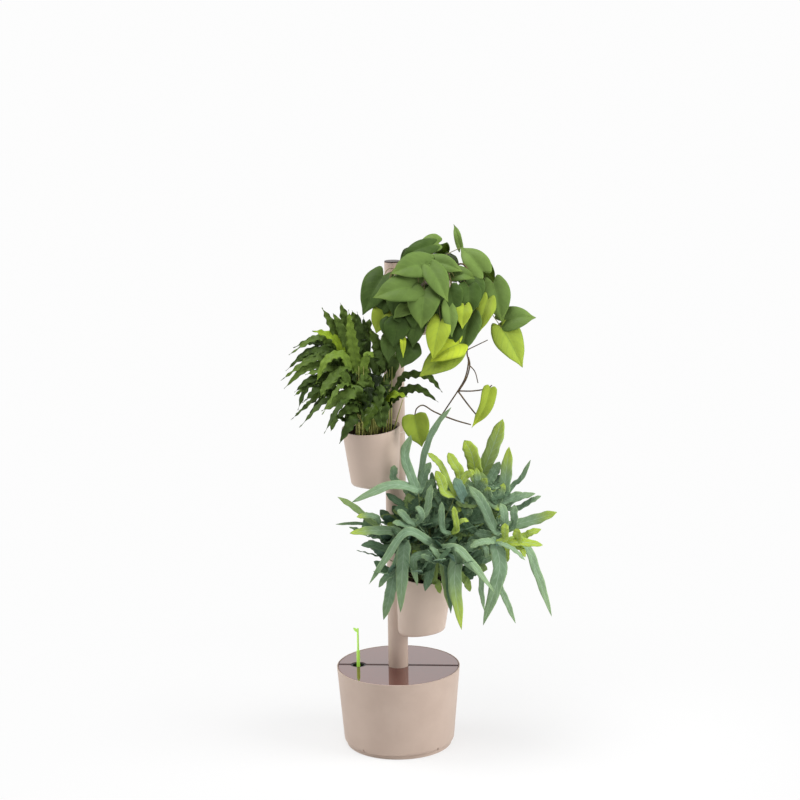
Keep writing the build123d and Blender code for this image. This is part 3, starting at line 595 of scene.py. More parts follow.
# Fern with blue-green fingers. Tints: share of lime, share of lime at the tip, lightness.
# The lightness is partly each lobe's own tone and partly painted light and shade: dark lobes sit in the
# clump's shade, light ones in full light.
fernTints = {
    "blue": (0.0, 0.12, 0.62), "light": (0.05, 0.1, 0.95), "dark": (0.0, 0.0, 0.12),
    "green": (0.3, 0.1, 0.4), "olive": (0.4, 0.2, 0.2), "lime": (0.85, 0.15, 0.7),
    "limeTip": (0.05, 0.95, 0.6), "yellow": (1.0, 0.0, 1.0), "half": (0.5, 0.4, 0.6),
}
fernLook = {
    "rows": 22, "cols": 6, "thick": 0.7, "twist": 0.4, "wave": 1.4, "waves": 5.0, "fold": 0.2, "curl": 0.14,
    "ruffleIn": 0.07, "ear": 0.0, "tip": 5, "hangTip": 3.4, "hang": 60, "tints": fernTints,
    "tintSpread": 0.15, "knee": (0.5, 0.85, 1.1), "stalk": (3.6, 2.2), "folded": 0.36,
}
# Fronds seen in front: the hub, then each lobe's tint, width and points, in millimetres about the
# middle of the soil as seen from the front
fernFronds = [
    ((-12, -62, 230), [
        ("blue", 24, (-18, -72, 242), (-77, -107, 261), (-166, -132, 228)),
        ("blue", 24, (-18, -69, 245), (-43, -84, 324), (-28, -94, 376)),
        ("blue", 18, (-66, -62, 261), (-68, -67, 299)),
        ("blue", 16, (-7, -47, 259), (5, -77, 335), (30, -82, 394), (66, -82, 438)),
        ("blue", 22, (-6, -52, 246), (18, -52, 301)),
    ]),
    ((-103, -50, 154), [
        ("green", 17, (-120, -52, 157), (-200, -82, 228)),
        ("limeTip", 17, (-111, -62, 172), (-157, -92, 182)),
        ("blue", 8, (-117, -42, 149), (-160, -52, 156), (-207, -62, 157)),
    ]),
    ((-20, -84, 160), [
        ("blue", 17, (-36, -92, 172), (-62, -107, 202)),
        ("blue", 18, (-46, -97, 163), (-74, -117, 174)),
        ("light", 19, (6, -82, 191), (18, -82, 254)),
        ("blue", 15, (-5, -92, 179), (-19, -92, 205)),
    ]),
    ((74, -54, 220), [
        ("lime", 24, (51, -62, 230), (29, -62, 283)),
        ("lime", 16, (45, -42, 284), (11, -42, 321)),
        ("lime", 24, (86, -37, 267), (59, -37, 320)),
        ("lime", 18, (96, -52, 263), (117, -52, 281)),
        ("blue", 26, (95, -57, 212), (73, -57, 264)),
    ]),
    ((130, -2, 240), [
        ("half", 34, (145, -2, 269), (189, -2, 391)),
        ("lime", 34, (124, -12, 268), (114, -22, 315), (97, -32, 348)),
        ("dark", 20, (136, 8, 251), (182, 8, 271)),
        ("dark", 22, (138, 3, 244), (180, 3, 240)),
    ]),
    ((182, -30, 180), [
        ("limeTip", 28, (186, -32, 203), (194, -32, 262), (202, -32, 331)),
        ("blue", 12, (210, -2, 227), (232, -2, 247), (254, -2, 291)),
        ("blue", 17, (195, -37, 194), (263, -37, 218)),
        ("blue", 14, (222, -32, 182), (277, -32, 211)),
        ("dark", 19, (176, -27, 191), (124, -27, 245)),
    ]),
    ((178, -58, 134), [
        ("limeTip", 28, (198, -52, 142), (261, -52, 159), (312, -62, 179)),
        ("blue", 21, (188, -72, 154), (179, -72, 205)),
        ("blue", 18, (209, -72, 150), (212, -72, 201)),
        ("blue", 24, (166, -67, 140), (136, -67, 207), (105, -67, 247)),
    ]),
    ((167, -98, 118), [
        ("blue", 36, (166, -102, 114), (174, -117, 53), (135, -122, -76)),
        ("yellow", 22, (184, -96, 116), (276, -107, 112)),
        ("lime", 17, (228, -77, 124), (274, -77, 142)),
        ("lime", 19, (186, -102, 126), (188, -102, 165)),
        ("lime", 20, (215, -100, 120), (217, -102, 152)),
        ("yellow", 12, (191, -102, 108), (194, -102, 71)),
        ("yellow", 13, (220, -102, 105), (235, -102, 82)),
        ("light", 12, (180, -112, 118), (234, -117, 79)),
        ("light", 17, (152, -108, 124), (105, -117, 111)),
        ("blue", 12, (139, -112, 118), (143, -112, 84)),
        ("light", 21, (232, -80, 110), (266, -82, 32), (298, -87, -68)),
        ("light", 15, (173, -94, 22), (192, -94, -28), (212, -94, -81)),
    ]),
    ((34, -98, 106), [
        ("blue", 22, (15, -107, 122), (-40, -127, 155), (-87, -137, 98), (-130, -132, 31)),
        ("blue", 20, (2, -107, 95), (-26, -122, 85), (-18, -127, 24)),
        ("light", 14, (18, -112, 114), (42, -127, 79)),
        ("limeTip", 33, (72, -112, 100), (69, -127, 30), (84, -132, -83)),
        ("light", 20, (42, -112, 108), (76, -127, 113), (118, -134, 68), (162, -137, 6)),
        ("dark", 22, (15, -102, 64), (0, -102, 3)),
        ("olive", 17, (22, -97, 34), (36, -97, -5)),
        ("green", 18, (43, -105, 64), (56, -105, -38)),
        ("dark", 18, (50, -109, 86), (60, -109, -50)),
        ("olive", 18, (84, -92, 37), (106, -92, -3)),
        ("light", 13, (124, -92, 44), (139, -92, -50)),
    ]),
    ((-50, -88, 124), [
        ("limeTip", 25, (-65, -82, 143), (-173, -117, 150)),
        ("dark", 18, (-87, -82, 103), (-148, -82, 111)),
        ("blue", 32, (-47, -112, 114), (-52, -122, 62), (-58, -127, -40)),
        ("blue", 15, (-68, -109, 58), (-108, -109, 16)),
        ("blue", 27, (-72, -110, 43), (-98, -110, -63)),
    ]),
    ((64, -82, 136), [
        ("lime", 14, (76, -92, 148), (69, -92, 205)),
        ("lime", 11, (79, -90, 162), (104, -92, 168)),
        ("blue", 15, (44, -92, 149), (42, -92, 216)),
    ]),
]
# Fronds at the back and inside: azimuth, reach and rise of the hub, length of its lobes
fernFill = [
    (-125, 40, 100, 90), (-75, 50, 110, 95), (-30, 60, 120, 95), (5, 70, 130, 95), (25, 95, 110, 110),
    (50, 90, 130, 115), (75, 95, 95, 110), (85, 80, 120, 100), (195, 90, 60, 80), (215, 70, 80, 80),
    (60, 40, 170, 110), (-10, 50, 180, 100), (-55, 110, 60, 90), (35, 130, 40, 100),
]
# Lobes of such a frond: turn and tilt in degrees, share of the length
fernFan = [(0, 20, 1.0), (38, 40, 0.8), (-38, 40, 0.8), (80, 25, 0.6), (-80, 25, 0.6)]
# Fronds all round, lower the further out, clear of the column; mostly dark, painted shade inside the clump
fernCore = {
    "count": 24, "reach": (20, 125), "rise": 195, "fall": 1.1, "riseSpread": 35, "length": 72.0, "width": 22,
    "column": (-67.0, 60.0), "clear": 55.0, "tints": ["dark", "dark", "blue"],
}
# Leafy heart of the fern towards the front: middle, half width and half height, count
fernHeart = [((30, -22, 145), 92, 82, 30), ((138, -20, 175), 48, 72, 13), ((60, -50, 66), 90, 26, 12)]
# Lobes of each leafy heart; most take a dark tint, painted shade in the fern's shaded middle.
fernHeartFan = {
    "lobes": 5, "turn": 48, "length": (40, 66), "outer": 0.8, "width": (16, 23),
    "tints": ["dark", "dark", "dark", "blue", "blue", "green", "limeTip"],
}


def makeFern():
    fern = Foliage("lower_soil", 5, fernLook)
    rng = fern.rng

    def lobe(hub, points, width, tint, facing):
        points = list(points)
        if len(points) == 2:
            bow = rng.uniform(2, 7)
            middle = between(points[0], points[1], 0.5)
            points.insert(1, (middle[0] + rng.uniform(-3, 3), middle[1] - 3, middle[2] + bow))
        hangs = points[0][2] - points[-1][2] > fernLook["hang"]  # these end in a longer point
        profile = strap(fernLook["hangTip" if hangs else "tip"])
        fern.leaf([hub, *points], width, facing, fern.tinted(tint), profile=profile)

    def straightLobe(hub, tip, width, tint, facing):
        lobe(hub, [between(hub, tip, 0.2), between(hub, tip, 0.6), tip], width, tint, facing)

    def stalk(hub):
        start = fern.root(hub)
        fern.stalk([start, fern.knee(start, hub), hub], *fernLook["stalk"])

    for hub, lobes in fernFronds:
        stalk(hub)
        for tint, width, *points in lobes:
            facing = (rng.uniform(-0.25, 0.25), -0.75, rng.uniform(0.4, 0.8))
            lobe(hub, points, width, tint, facing)
    fronds = list(fernFill)
    near, far = fernCore["reach"]
    for i in range(fernCore["count"]):
        reach = near + (far - near) * math.sqrt((i + 0.5) / fernCore["count"])
        rise = fernCore["rise"] - fernCore["fall"] * reach
        rise += rng.uniform(-fernCore["riseSpread"], fernCore["riseSpread"])
        fronds.append((i * goldenAngle, reach, rise, fernCore["length"]))
    for azimuth, reach, rise, length in fronds:
        hub = polar(azimuth, reach, rise)
        if (Vector(hub[:2]) - Vector(fernCore["column"])).length < fernCore["clear"]:
            continue
        stalk(hub)
        for turn, tilt, part in fernFan:
            tilt = math.radians(tilt)
            run = polar(azimuth + turn, length * part * math.cos(tilt), length * part * math.sin(tilt))
            tip = tuple(h + r for h, r in zip(hub, run))
            tint = rng.choice(fernCore["tints"])
            straightLobe(hub, tip, fernCore["width"], tint, polar(azimuth, 0.5, 0.8))
    centre = fernHeartFan["lobes"] // 2
    for middle, wide, high, count in fernHeart:
        for i in range(count):
            turn = math.radians(i * goldenAngle)
            out = math.sqrt((i + 0.5) / count)
            hub = (
                middle[0] + wide * out * math.cos(turn), middle[1] + rng.uniform(-22, 22),
                middle[2] + high * out * math.sin(turn),
            )
            stalk(hub)
            for k in range(fernHeartFan["lobes"]):
                way = turn + math.radians(fernHeartFan["turn"] * (k - centre)) + rng.uniform(-0.2, 0.2)
                reach = rng.uniform(*fernHeartFan["length"])
                if k != centre:
                    reach *= fernHeartFan["outer"]
                tip = (
                    hub[0] + reach * math.cos(way), hub[1] + rng.uniform(-16, 6),
                    hub[2] + reach * math.sin(way) * 0.8 + 8,
                )
                tint = rng.choice(fernHeartFan["tints"])
                facing = (rng.uniform(-0.4, 0.4), -0.9, rng.uniform(0.1, 0.6))
                straightLobe(hub, tip, rng.uniform(*fernHeartFan["width"]), tint, facing)
    return fern


fernTopLook = {
    "deep": (48, 72, 54), "fresh": (142, 178, 158), "lime": (166, 188, 68), "vein": (172, 196, 172),
    "margin": (172, 194, 132), "marginShow": 0.5, "midrib": 0.12, "midribShow": 0.28, "ribs": 11.0,
    "ribSlant": 1.2, "ribShow": 0.05, "blotch": 70.0, "mottle": 0.8, "fine": 0.3, "rough": 0.56, "bump": 0.35,
    "constants": {"IOR": 1.42, "Specular IOR Level": 0.22},
}
fernUnderLook = {
    "deep": (80, 106, 78), "fresh": (140, 168, 134), "ribShow": 0.2, "midribShow": 0.5, "rough": 0.68,
}
fernStalkLook = {"low": (96, 112, 66), "high": (146, 156, 98)}
fernPaints = plantPaints("fern", fernTopLook, fernUnderLook, fernStalkLook)
fernSlots = ["fern_leaf", "fern_leaf"]
makeFern().pieces("fern", "lower_pot", fernPaints, fernSlots, "lower_fronds", "lower_pot_lift")
print("fern made")


def lanceProfile(t):  # widest below the middle, with a narrow point
    blade = max(0.0, math.sin(math.pi * min(1.0, t / 0.95) ** 0.8)) ** 0.6
    return blade * 0.96 + 0.04 * (1 - t)


# Lance-leaf plant with ruffled edges, in the middle pot
# Tints: share of lime, share of lime at the tip, lightness; partly each leaf's own tone, partly painted shade
# on dark leaves inside the clump and painted light on light ones.
lanceTints = {
    "mid": (0.05, 0.08, 0.5), "dark": (0.0, 0.0, 0.2), "light": (0.25, 0.1, 0.95), "lime": (0.8, 0.0, 0.8),
}
lanceLook = {
    "rows": 44, "cols": 6, "thick": 0.6, "twist": 0.4, "wave": 3.6, "waveLength": 17.0, "fold": 0.3,
    "curl": 0.12, "ruffleIn": 0.12, "ear": 0.0, "profile": lanceProfile, "tints": lanceTints,
    "tintSpread": 0.15, "knee": (0.55, 0.8, 1.08), "stalk": (3.0, 2.0), "bareStalk": (4.2, 1.6),
    "bladeFoot": 19 / 45, "folded": 0.36,
}
lanceLeaves = [
    ("mid", 26, (-71, -13, 226), (-109, -23, 303)),
    ("mid", 24, (-59, -18, 232), (-84, -23, 290)),
    ("mid", 28, (-47, 7, 237), (-67, 7, 309)),
    ("light", 30, (-35, -33, 190), (-42, -42, 245), (-47, -38, 300)),
    ("lime", 22, (-77, -23, 224), (-132, -43, 252)),
    ("mid", 22, (-97, -3, 217), (-127, -13, 229), (-188, -23, 193)),
    ("dark", 20, (-84, 7, 200), (-154, 7, 214)),
    ("dark", 22, (-97, -13, 201), (-184, -23, 171)),
    ("mid", 24, (-97, -23, 184), (-142, -33, 180), (-207, -43, 137)),
    ("light", 24, (-63, -43, 194), (-100, -63, 186), (-125, -73, 134)),
    ("mid", 24, (-110, -28, 138), (-177, -43, 100)),
    ("dark", 22, (-117, -33, 130), (-147, -43, 121), (-169, -53, 68)),
    ("dark", 22, (-117, -43, 115), (-149, -53, 91)),
    ("dark", 15, (-92, -13, 105), (-147, -23, 47)),
    ("mid", 26, (-67, -53, 155), (-101, -73, 129), (-115, -83, 102)),
    ("mid", 36, (-34, -55, 110), (-113, -80, 71)),
    ("dark", 28, (-31, -58, 74), (-80, -72, 52)),
    ("dark", 22, (-81, -73, 55), (-92, -83, 24)),
    ("dark", 26, (-36, -72, 52), (-73, -88, -5)),
    ("dark", 21, (82, 20, 131), (134, 12, 130), (168, 12, 92)),
    ("dark", 24, (70, 0, 94), (112, -10, 106), (158, -14, 74)),
    ("lime", 24, (34, -22, 84), (60, -34, 98), (86, -36, 92)),
    ("mid", 30, (13, -50, 83), (-2, -72, 62), (-19, -78, 23)),
    ("dark", 26, (-21, -10, 203), (-28, -14, 291)),
    ("dark", 24, (-12, 5, 194), (-14, 5, 276)),
    ("mid", 32, (18, -5, 196), (1, -8, 248)),
    ("dark", 26, (35, 0, 186), (33, 0, 240)),
    ("light", 22, (-15, -30, 165), (-4, -46, 196), (12, -44, 188)),
    ("dark", 28, (53, -5, 159), (39, -10, 214)),
    ("dark", 36, (11, -30, 146), (4, -45, 77)),
    ("dark", 26, (-54, -20, 163), (-31, -40, 125)),
    ("mid", 28, (-7, -30, 141), (-31, -45, 90)),
    ("dark", 28, (34, -30, 122), (25, -40, 76)),
    ("mid", 26, (-54, -40, 125), (-77, -40, 156)),
    ("dark", 28, (-12, -5, 229), (-30, -20, 187)),
    ("dark", 28, (12, -20, 187), (35, -30, 152)),
    ("mid", 24, (-29, 0, 238), (-40, 0, 292)),
    ("mid", 20, (-6, 10, 236), (1, 10, 269)),
    ("dark", 30, (-5, -48, 120), (-12, -60, 50)),
    ("dark", 30, (20, -45, 112), (14, -58, 40)),
    ("dark", 26, (-12, -52, 64), (-8, -66, 14)),
    ("dark", 26, (8, -50, 72), (24, -62, 20)),
    ("dark", 24, (32, -40, 74), (30, -56, 18)),
    ("dark", 26, (-45, -42, 64), (-58, -64, 16)),
    ("dark", 26, (-48, -30, 100), (-92, -50, 84)),
    ("dark", 26, (-70, -20, 180), (-118, -34, 196)),
    ("mid", 24, (-84, -26, 160), (-150, -44, 150)),
    ("dark", 22, (-90, -8, 190), (-140, -18, 200), (-196, -26, 156)),
    ("dark", 22, (-80, 0, 206), (-130, -6, 224), (-178, -14, 208)),
    ("mid", 22, (-92, -20, 166), (-150, -36, 162), (-200, -46, 118)),
    ("dark", 22, (-80, -20, 140), (-136, -40, 138), (-176, -50, 110)),
    ("dark", 26, (20, -12, 170), (52, -18, 186)),
    ("dark", 30, (-60, -10, 196), (-112, -22, 150)),
    ("dark", 30, (-44, -20, 150), (-104, -44, 108)),
    ("dark", 30, (-20, 10, 176), (-66, 0, 214)),
]
# Bare yellow-green stalks in two bundles: foot and top
lanceStalks = [
    ((-28, -40, -4), (-26, -35, 166)), ((-21, -40, -4), (-15, -30, 165)), ((-34, -34, -4), (-31, -26, 160)),
    ((35, -10, -4), (39, -15, 149)), ((46, -5, -4), (51, -12, 160)), ((50, 5, -4), (75, 0, 79)),
    ((28, -10, -4), (32, -12, 143)), ((40, 0, -4), (45, -4, 155)),
]
# Leaves that fill the clump, shorter and lower near the column and mostly dark as painted shade, and leaves
# that arch over the rim
lanceClump = {
    "count": 26, "from": 60, "toColumn": 48.0, "near": 40, "reach": (20, 75), "rise": (175, 115),
    "lower": 40, "width": 26, "archAngles": [*range(-196, -123, 9), *range(102, 175, 12)],
    "archReach": 105, "archRise": 150, "archWidth": 21,
}


def makeLance():
    plant = Foliage("middle_soil", 8, lanceLook)
    rng = plant.rng

    def leaf(points, width, tint, facing):
        points = list(points)
        if len(points) == 2:
            middle = between(points[0], points[1], 0.5)
            points.insert(1, (middle[0], middle[1] - 4, middle[2] + rng.uniform(2, 8)))
        length = sum((Vector(b) - Vector(a)).length for a, b in zip(points, points[1:]))
        start = plant.root(points[0], rng.uniform(6, 20))
        knee = plant.knee(start, points[0])
        low = between(knee, points[0], lanceLook["bladeFoot"])
        waves = max(3.0, length * 1.3 / lanceLook["waveLength"])
        plant.leaf([low, *points], width, facing, plant.tinted(tint), waves=waves)
        plant.stalk([start, knee, low], *lanceLook["stalk"])

    for tint, width, *points in lanceLeaves:
        leaf(points, width, tint, (rng.uniform(-0.3, 0.3), -0.7, rng.uniform(0.5, 0.9)))
    inner, outer = lanceClump["reach"]
    tall, short = lanceClump["rise"]
    for i in range(lanceClump["count"]):
        grown = (i + 0.5) / lanceClump["count"]
        azimuth = (i * goldenAngle + lanceClump["from"]) % 360
        near = abs((azimuth - lanceClump["toColumn"] + 180) % 360 - 180) < lanceClump["near"]
        reach = inner + (outer - inner) * grown
        rise = tall + (short - tall) * grown - (lanceClump["lower"] if near else 0)
        foot = polar(azimuth, reach * (0.4 if near else 0.6), rise * 0.55)
        tip = polar(azimuth, reach * (0.6 if near else 1), rise)
        tint = rng.choice(["mid", "dark", "dark"])
        leaf([foot, tip], lanceClump["width"], tint, (rng.uniform(-1, 1), -0.8, 0.4))
    for i, azimuth in enumerate(lanceClump["archAngles"]):
        reach = lanceClump["archReach"] + 20 * (i % 3)
        rise = lanceClump["archRise"] - 35 * (i % 3)
        points = [
            polar(azimuth, reach * 0.45, rise), polar(azimuth, reach * 0.8, rise + 12),
            polar(azimuth, reach * 1.3, rise - 45),
        ]
        tint = rng.choice(["mid", "dark", "mid", "dark"])
        leaf(points, lanceClump["archWidth"], tint, (0, -0.4, 0.8))
    for foot, top in lanceStalks:
        plant.stalk([foot, between(foot, top, 0.5), top], *lanceLook["bareStalk"])
    return plant


lanceTopLook = {
    "deep": (14, 26, 4), "fresh": (64, 88, 22), "lime": (146, 172, 36), "vein": (90, 116, 50),
    "margin": (76, 102, 40), "marginShow": 0.3, "midrib": 0.12, "midribShow": 0.4, "ribs": 14.0,
    "ribSlant": 2.0, "ribShow": 0.1, "blotch": 60.0, "mottle": 0.7, "fine": 0.15, "rough": 0.28, "bump": 0.3,
    "constants": {"IOR": 1.46, "Specular IOR Level": 0.2},
}
lanceUnderLook = {"deep": (44, 62, 20), "fresh": (112, 138, 66), "rough": 0.5, "ribShow": 0.2}
lanceStalkLook = {"low": (150, 156, 82), "high": (196, 196, 118)}
lancePaints = plantPaints("lance", lanceTopLook, lanceUnderLook, lanceStalkLook)
lanceSlots = ["lance_leaf", "lance_leaf"]
makeLance().pieces("lancePlant", "middle_pot", lancePaints, lanceSlots, "middle_leaves", "middle_pot_lift")
print("lance-leaf plant made")


def heartProfile(t):  # broad from the foot on, drawn in to a point
    blade = max(0.0, math.sin(math.pi * (0.2 + 0.8 * t) ** 0.75)) ** 0.8
    return blade * (1 - 0.4 * smoothstep(0.7, 0.98, t))


# Trailing plant with heart-shaped leaves, in the upper pot
# Tints: share of lime, share of lime at the tip, lightness. The lightness is partly each leaf's own tone and
# partly painted light and shade: dark leaves sit in the plant's shade, pale ones in full light.
heartTints = {
    "mid": (0.025, 0.06, 0.55), "dark": (0.0, 0.0, 0.06), "pale": (0.05, 0.0, 0.75), "lime": (0.6, 0.1, 0.6),
    "bright": (0.9, 0.0, 0.9), "teal": (0.0, 0.0, 0.3), "grey": (0.0, 0.0, 0.35), "olive": (0.45, 0.0, 0.35),
    "half": (0.45, 0.1, 0.7),
}
heartLook = {
    "rows": 18, "cols": 12, "thick": 0.6, "twist": 0.35, "wave": 2.0, "waves": 1.3, "fold": 0.5,
    "curl": 0.42, "ruffleIn": 0.02, "ear": 0.17, "profile": heartProfile, "tints": heartTints,
    "tintSpread": 0.1, "bow": 6, "backFrom": 35,
}
heartLeaves = [
    ("dark", 72, (-93, -23, 8), (-142, -53, -78)),
    ("mid", 70, (-13, -80, -8), (-117, -112, -29)),
    ("mid", 66, (13, -55, 39), (-76, -95, 23)),
    ("mid", 56, (15, -72, 33), (54, -98, -44)),
    ("mid", 44, (15, -40, 42), (89, -60, 21)),
    ("mid", 76, (0, -84, -18), (-8, -106, -103)),
    ("dark", 42, (22, 7, 74), (-54, -13, 44)),
    ("pale", 44, (36, 24, 76), (-10, 24, 68)),
    ("pale", 58, (137, -23, 15), (86, 12, 67)),
    ("mid", 40, (62, -45, 14), (117, -58, 4)),
    ("dark", 48, (115, -30, 0), (124, -48, -66)),
    ("mid", 68, (162, 5, -16), (182, -15, -106)),
    ("olive", 48, (148, -25, -50), (124, -55, -124)),
    ("mid", 58, (181, 5, -107), (261, -5, -98)),
    ("half", 72, (180, -3, -120), (228, -23, -212)),
    ("lime", 56, (36, -88, -89), (17, -108, -174)),
    ("bright", 62, (80, -75, -144), (12, -98, -182)),
    ("half", 66, (72, -65, -164), (-14, -88, -218)),
    ("teal", 66, (105, -45, -83), (84, -63, -171)),
    ("lime", 38, (92, -78, -56), (86, -88, -108)),
    ("pale", 40, (56, -83, -48), (62, -88, -126)),
    ("dark", 60, (-61, -78, -89), (-72, -84, -150)),
    ("dark", 64, (-31, -74, -145), (-54, -80, -198)),
    ("dark", 50, (-21, -80, -93), (-28, -88, -150)),
    ("grey", 44, (-80, -50, -134), (-86, -60, -187)),
    ("bright", 15, (-50, -83, -125), (-50, -93, -172)),
    ("olive", 60, (-86, -43, -66), (-112, -60, -120)),
    ("pale", 36, (-30, -76, -56), (-72, -82, -82)),
    ("dark", 54, (-58, -62, -24), (-72, -72, -78)),
    ("pale", 18, (86, 14, 66), (72, 32, 119)),
    ("mid", 60, (46, 92, 34), (76, 162, -36)),
    ("mid", 60, (-14, 92, 44), (-44, 162, -16)),
    ("dark", 56, (96, 82, -6), (156, 122, -76)),
    ("mid", 50, (30, 60, 58), (60, 110, 34)),
    ("mid", 54, (120, 40, 22), (170, 70, -28)),
    ("dark", 50, (-57, -66, -70), (-31, -74, -98)),
    ("dark", 46, (-78, -60, -90), (-88, -66, -132)),
    ("dark", 62, (17, -74, -12), (30, -80, -72)),
    ("dark", 58, (58, -74, -16), (70, -80, -80)),
    ("dark", 62, (102, -60, -14), (104, -70, -82)),
    ("dark", 58, (-17, -74, -68), (-11, -78, -122)),
    ("dark", 58, (44, -74, -56), (36, -80, -120)),
    ("dark", 56, (70, -70, -90), (64, -76, -150)),
    ("dark", 54, (-30, -70, 10), (-70, -84, -36)),
    ("dark", 46, (-86, -40, -40), (-102, -50, -86)),
]
heartStem = {"rimOut": 76.0, "rimRise": 24.0, "thick": 2.4, "thin": 1.8}


def makeHearts():
    plant = Foliage("upper_soil", 3, heartLook)
    rng = plant.rng
    for tint, width, foot, tip in heartLeaves:
        out = math.hypot(foot[0], foot[1])
        if foot[2] > heartStem["rimRise"]:
            over = (foot[0] * 0.5, foot[1] * 0.5, foot[2] * 0.6 + 4)
        else:
            wide = heartStem["rimOut"] / out
            over = (foot[0] * wide, foot[1] * wide + 4, heartStem["rimRise"])
        plant.stalk([plant.root(foot), over, foot], heartStem["thick"], heartStem["thin"])
        front = -0.9 if foot[1] < heartLook["backFrom"] else 0.9  # leaves at the back face backwards
        middle = between(foot, tip, 0.5)
        bowed = (middle[0], middle[1] + front * heartLook["bow"], middle[2] + heartLook["bow"])
        facing = (rng.uniform(-0.25, 0.25), front, 0.42)
        plant.leaf([foot, bowed, tip], width, facing, plant.tinted(tint))
    return plant


# Bare stems that hang from the heart-leaf plant: thickness at both ends, points
vineStems = [
    (4.4, 3.2, [
        (36, -17, -2), (90, -28, 34), (116, -36, -30), (112, -46, -100), (98, -58, -162), (101, -56, -191),
        (93, -53, -229), (76, -50, -260), (59, -48, -286), (38, -46, -318),
    ]),
    (3.6, 3.0, [(101, -55, -180), (104, -54, -200), (96, -51, -231), (79, -48, -260)]),
    (3.6, 2.8, [(38, -46, -318), (17, -48, -307), (-5, -50, -293), (-20, -52, -300), (-25, -52, -316)]),
    (3.6, 2.8, [(76, -50, -260), (111, -43, -262), (144, -38, -258), (156, -37, -250)]),
    (4.0, 3.4, [(76, -50, -260), (98, -45, -292), (119, -40, -320)]),
    (4.0, 3.2, [(38, -46, -318), (72, -43, -332), (106, -40, -343)]),
    (2.8, 2.2, [(101, -56, -196), (116, -52, -215), (123, -50, -242)]),
    (2.6, 2.2, [(98, -58, -162), (120, -56, -152), (146, -54, -140)]),
]
# The two leaves at their ends
vineLeaves = [
    {
        "points": [(-25, -52, -315), (-19, -60, -350), (-9, -56, -391)], "width": 64,
        "facing": (-0.1, -1, 0.15), "tint": (0.4, 0.0, 0.4), "fold": 0.6, "wave": 4.0, "curl": 0.3,
        "ear": 0.05,
    },
    {
        "points": [(152, -37, -256), (138, -46, -302), (108, -38, -351)], "width": 40,
        "facing": (0.4, -1, 0.1), "tint": (0.5, 0.4, 0.4), "fold": 0.55, "ear": 0.05,
    },
]


def makeVine():
    plant = Foliage("upper_soil", 4, heartLook)
    for thick, thin, points in vineStems:
        plant.stalk(points, thick, thin, steps=10 * (len(points) - 1))
    for leaf in vineLeaves:
        plant.leaf(**leaf)
    return plant


heartTopLook = {
    "deep": (18, 32, 6), "fresh": (70, 96, 22), "lime": (184, 202, 54), "vein": (112, 140, 66),
    "margin": (104, 138, 52), "marginShow": 0.3, "midrib": 0.06, "midribShow": 0.4, "ribs": 6.0,
    "ribSlant": 1.8, "ribShow": 0.08, "blotch": 40.0, "mottle": 0.5, "fine": 0.05, "rough": 0.22,
    "bump": 0.22, "constants": {"IOR": 1.46, "Specular IOR Level": 0.17},
}
heartUnderLook = {
    "deep": (58, 80, 32), "fresh": (120, 148, 80), "rough": 0.5, "ribShow": 0.2, "midribShow": 0.6,
}
heartStalkLook = {"low": (92, 84, 56), "high": (140, 138, 82)}
vineStemLook = {"low": (50, 40, 31), "high": (108, 88, 58)}
heartPaints = plantPaints("heart", heartTopLook, heartUnderLook, heartStalkLook)
vinePaints = [*heartPaints[:2], stalkPaint("vineStem", vineStemLook)]
makeHearts().pieces("heartPlant", "upper_pot", heartPaints, ["heart_leaf", "heart_leaf"], "upper_leaves")
makeVine().pieces("heartVine", "upper_pot", vinePaints, ["heart_leaf", "vine_stem"], "upper_vine")
print("heart-leaf plant and its vine made")

# Floor, light and camera
stageLook = {
    "white": 0.98, "floor": (238, 238, 238), "reach": 40.0, "clear": (0.3, 1.2), "shadow": 0.34,
    "ambient": 0.36,
}


def cameraSeen(paint):
    # 1 for the camera and for what gloss and glass show of the surroundings
    direct = paint.node("ShaderNodeLightPath", output="Is Camera Ray")
    gloss = paint.node("ShaderNodeLightPath", output="Is Glossy Ray")
    glass = paint.node("ShaderNodeLightPath", output="Is Transmission Ray")
    return direct.larger(gloss.larger(glass))


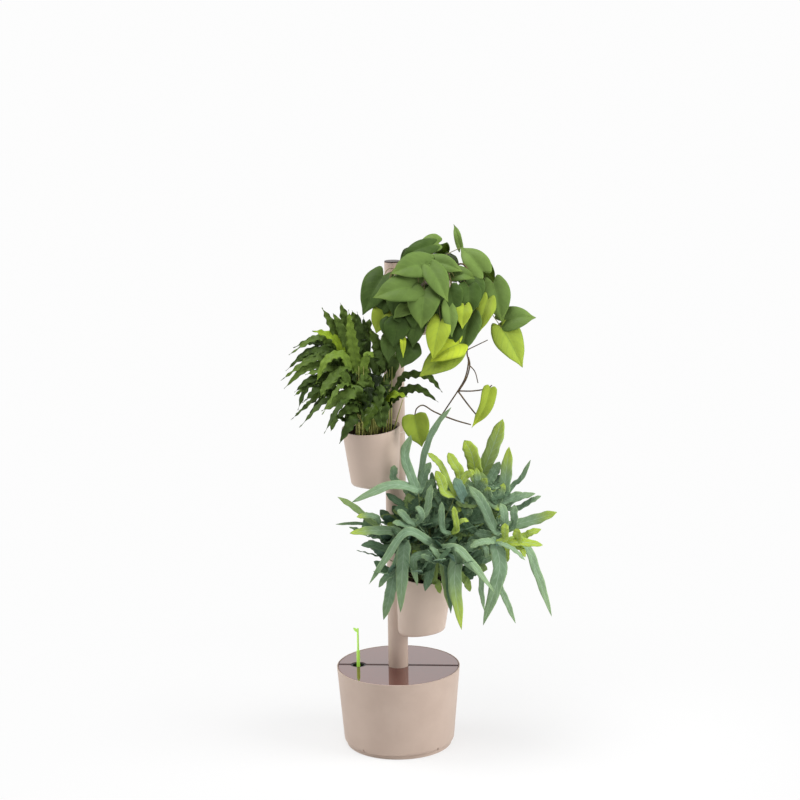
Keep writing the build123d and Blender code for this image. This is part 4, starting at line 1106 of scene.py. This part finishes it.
def makeFloor():
    built = bmesh.new()
    bmesh.ops.create_circle(built, cap_ends=True, segments=96, radius=stageLook["reach"])
    mesh = bpy.data.meshes.new("floor")
    built.to_mesh(mesh)
    built.free()
    floor = addObject("floor", mesh)
    constants = {"Base Color": srgb(*stageLook["floor"]), "Roughness": 0.9, "Specular IOR Level": 0.0}
    paint = Paint("paleFloor", constants)
    fromMiddle = paint.node("ShaderNodeVectorMath", {"operation": "LENGTH"}, {0: paint.place()}, "Value")
    share = fromMiddle.fade(*stageLook["clear"]) * stageLook["shadow"] + (1 - stageLook["shadow"])
    glow = paint.node("ShaderNodeEmission", None, {"Color": (1, 1, 1, 1), "Strength": stageLook["white"]})
    lit = Wire(paint, paint.shader.outputs[0])
    both = paint.node("ShaderNodeMixShader", None, {0: share * cameraSeen(paint), 1: lit, 2: glow})
    paint.plug(paint.tree.nodes["Material Output"].inputs["Surface"], both)
    mesh.materials.append(paint.owner)


makeFloor()

world = bpy.data.worlds.new("studio")
bpy.context.scene.world = world
sky = Paint("studio", None, world)
level = cameraSeen(sky) * (stageLook["white"] - stageLook["ambient"]) + stageLook["ambient"]
sky.plug(sky.tree.nodes["Background"].inputs["Strength"], level)
sky.plug(sky.tree.nodes["Background"].inputs["Color"], (1, 1, 1, 1))

# Soft boxes: where, size, watts. All look at the middle of the planter.
softBoxes = {
    "rightBox": ((2.4, -0.6, 1.6), 1.8, 60.0),
    "leftBox": ((-2.4, 0.4, 1.6), 1.8, 33.0),
    "topBox": ((-0.3, -0.8, 3.3), 1.5, 48.0),
}
lookAt = Vector((0, 0, 0.75))
for name, (spot, size, watts) in softBoxes.items():
    lamp = bpy.data.lights.new(name, "AREA")
    lamp.size = size
    lamp.energy = watts
    box = addObject(name, lamp)
    box.location = spot
    box.rotation_euler = (lookAt - Vector(spot)).to_track_quat("-Z", "Y").to_euler()
    box.visible_camera = False
    box.visible_glossy = name == "topBox"  # the side boxes would turn the lid white from the sides

cameraLook = {"spot": (0.360, -4.722, 1.843), "down": 11.78, "roll": -0.82, "lens": 91.6}
lens = bpy.data.cameras.new("camera")
lens.lens = cameraLook["lens"]
lens.sensor_width = 36.0
camera = addObject("camera", lens)
camera.matrix_world = (
    Matrix.Translation(cameraLook["spot"])
    @ Matrix.Rotation(frontTurn, 4, "Z")
    @ Matrix.Rotation(math.radians(90 - cameraLook["down"]), 4, "X")
    @ Matrix.Rotation(math.radians(cameraLook["roll"]), 4, "Z")
)
bpy.context.scene.camera = camera
bpy.context.scene.view_settings.view_transform = "Standard"
print("floor, light and camera set")
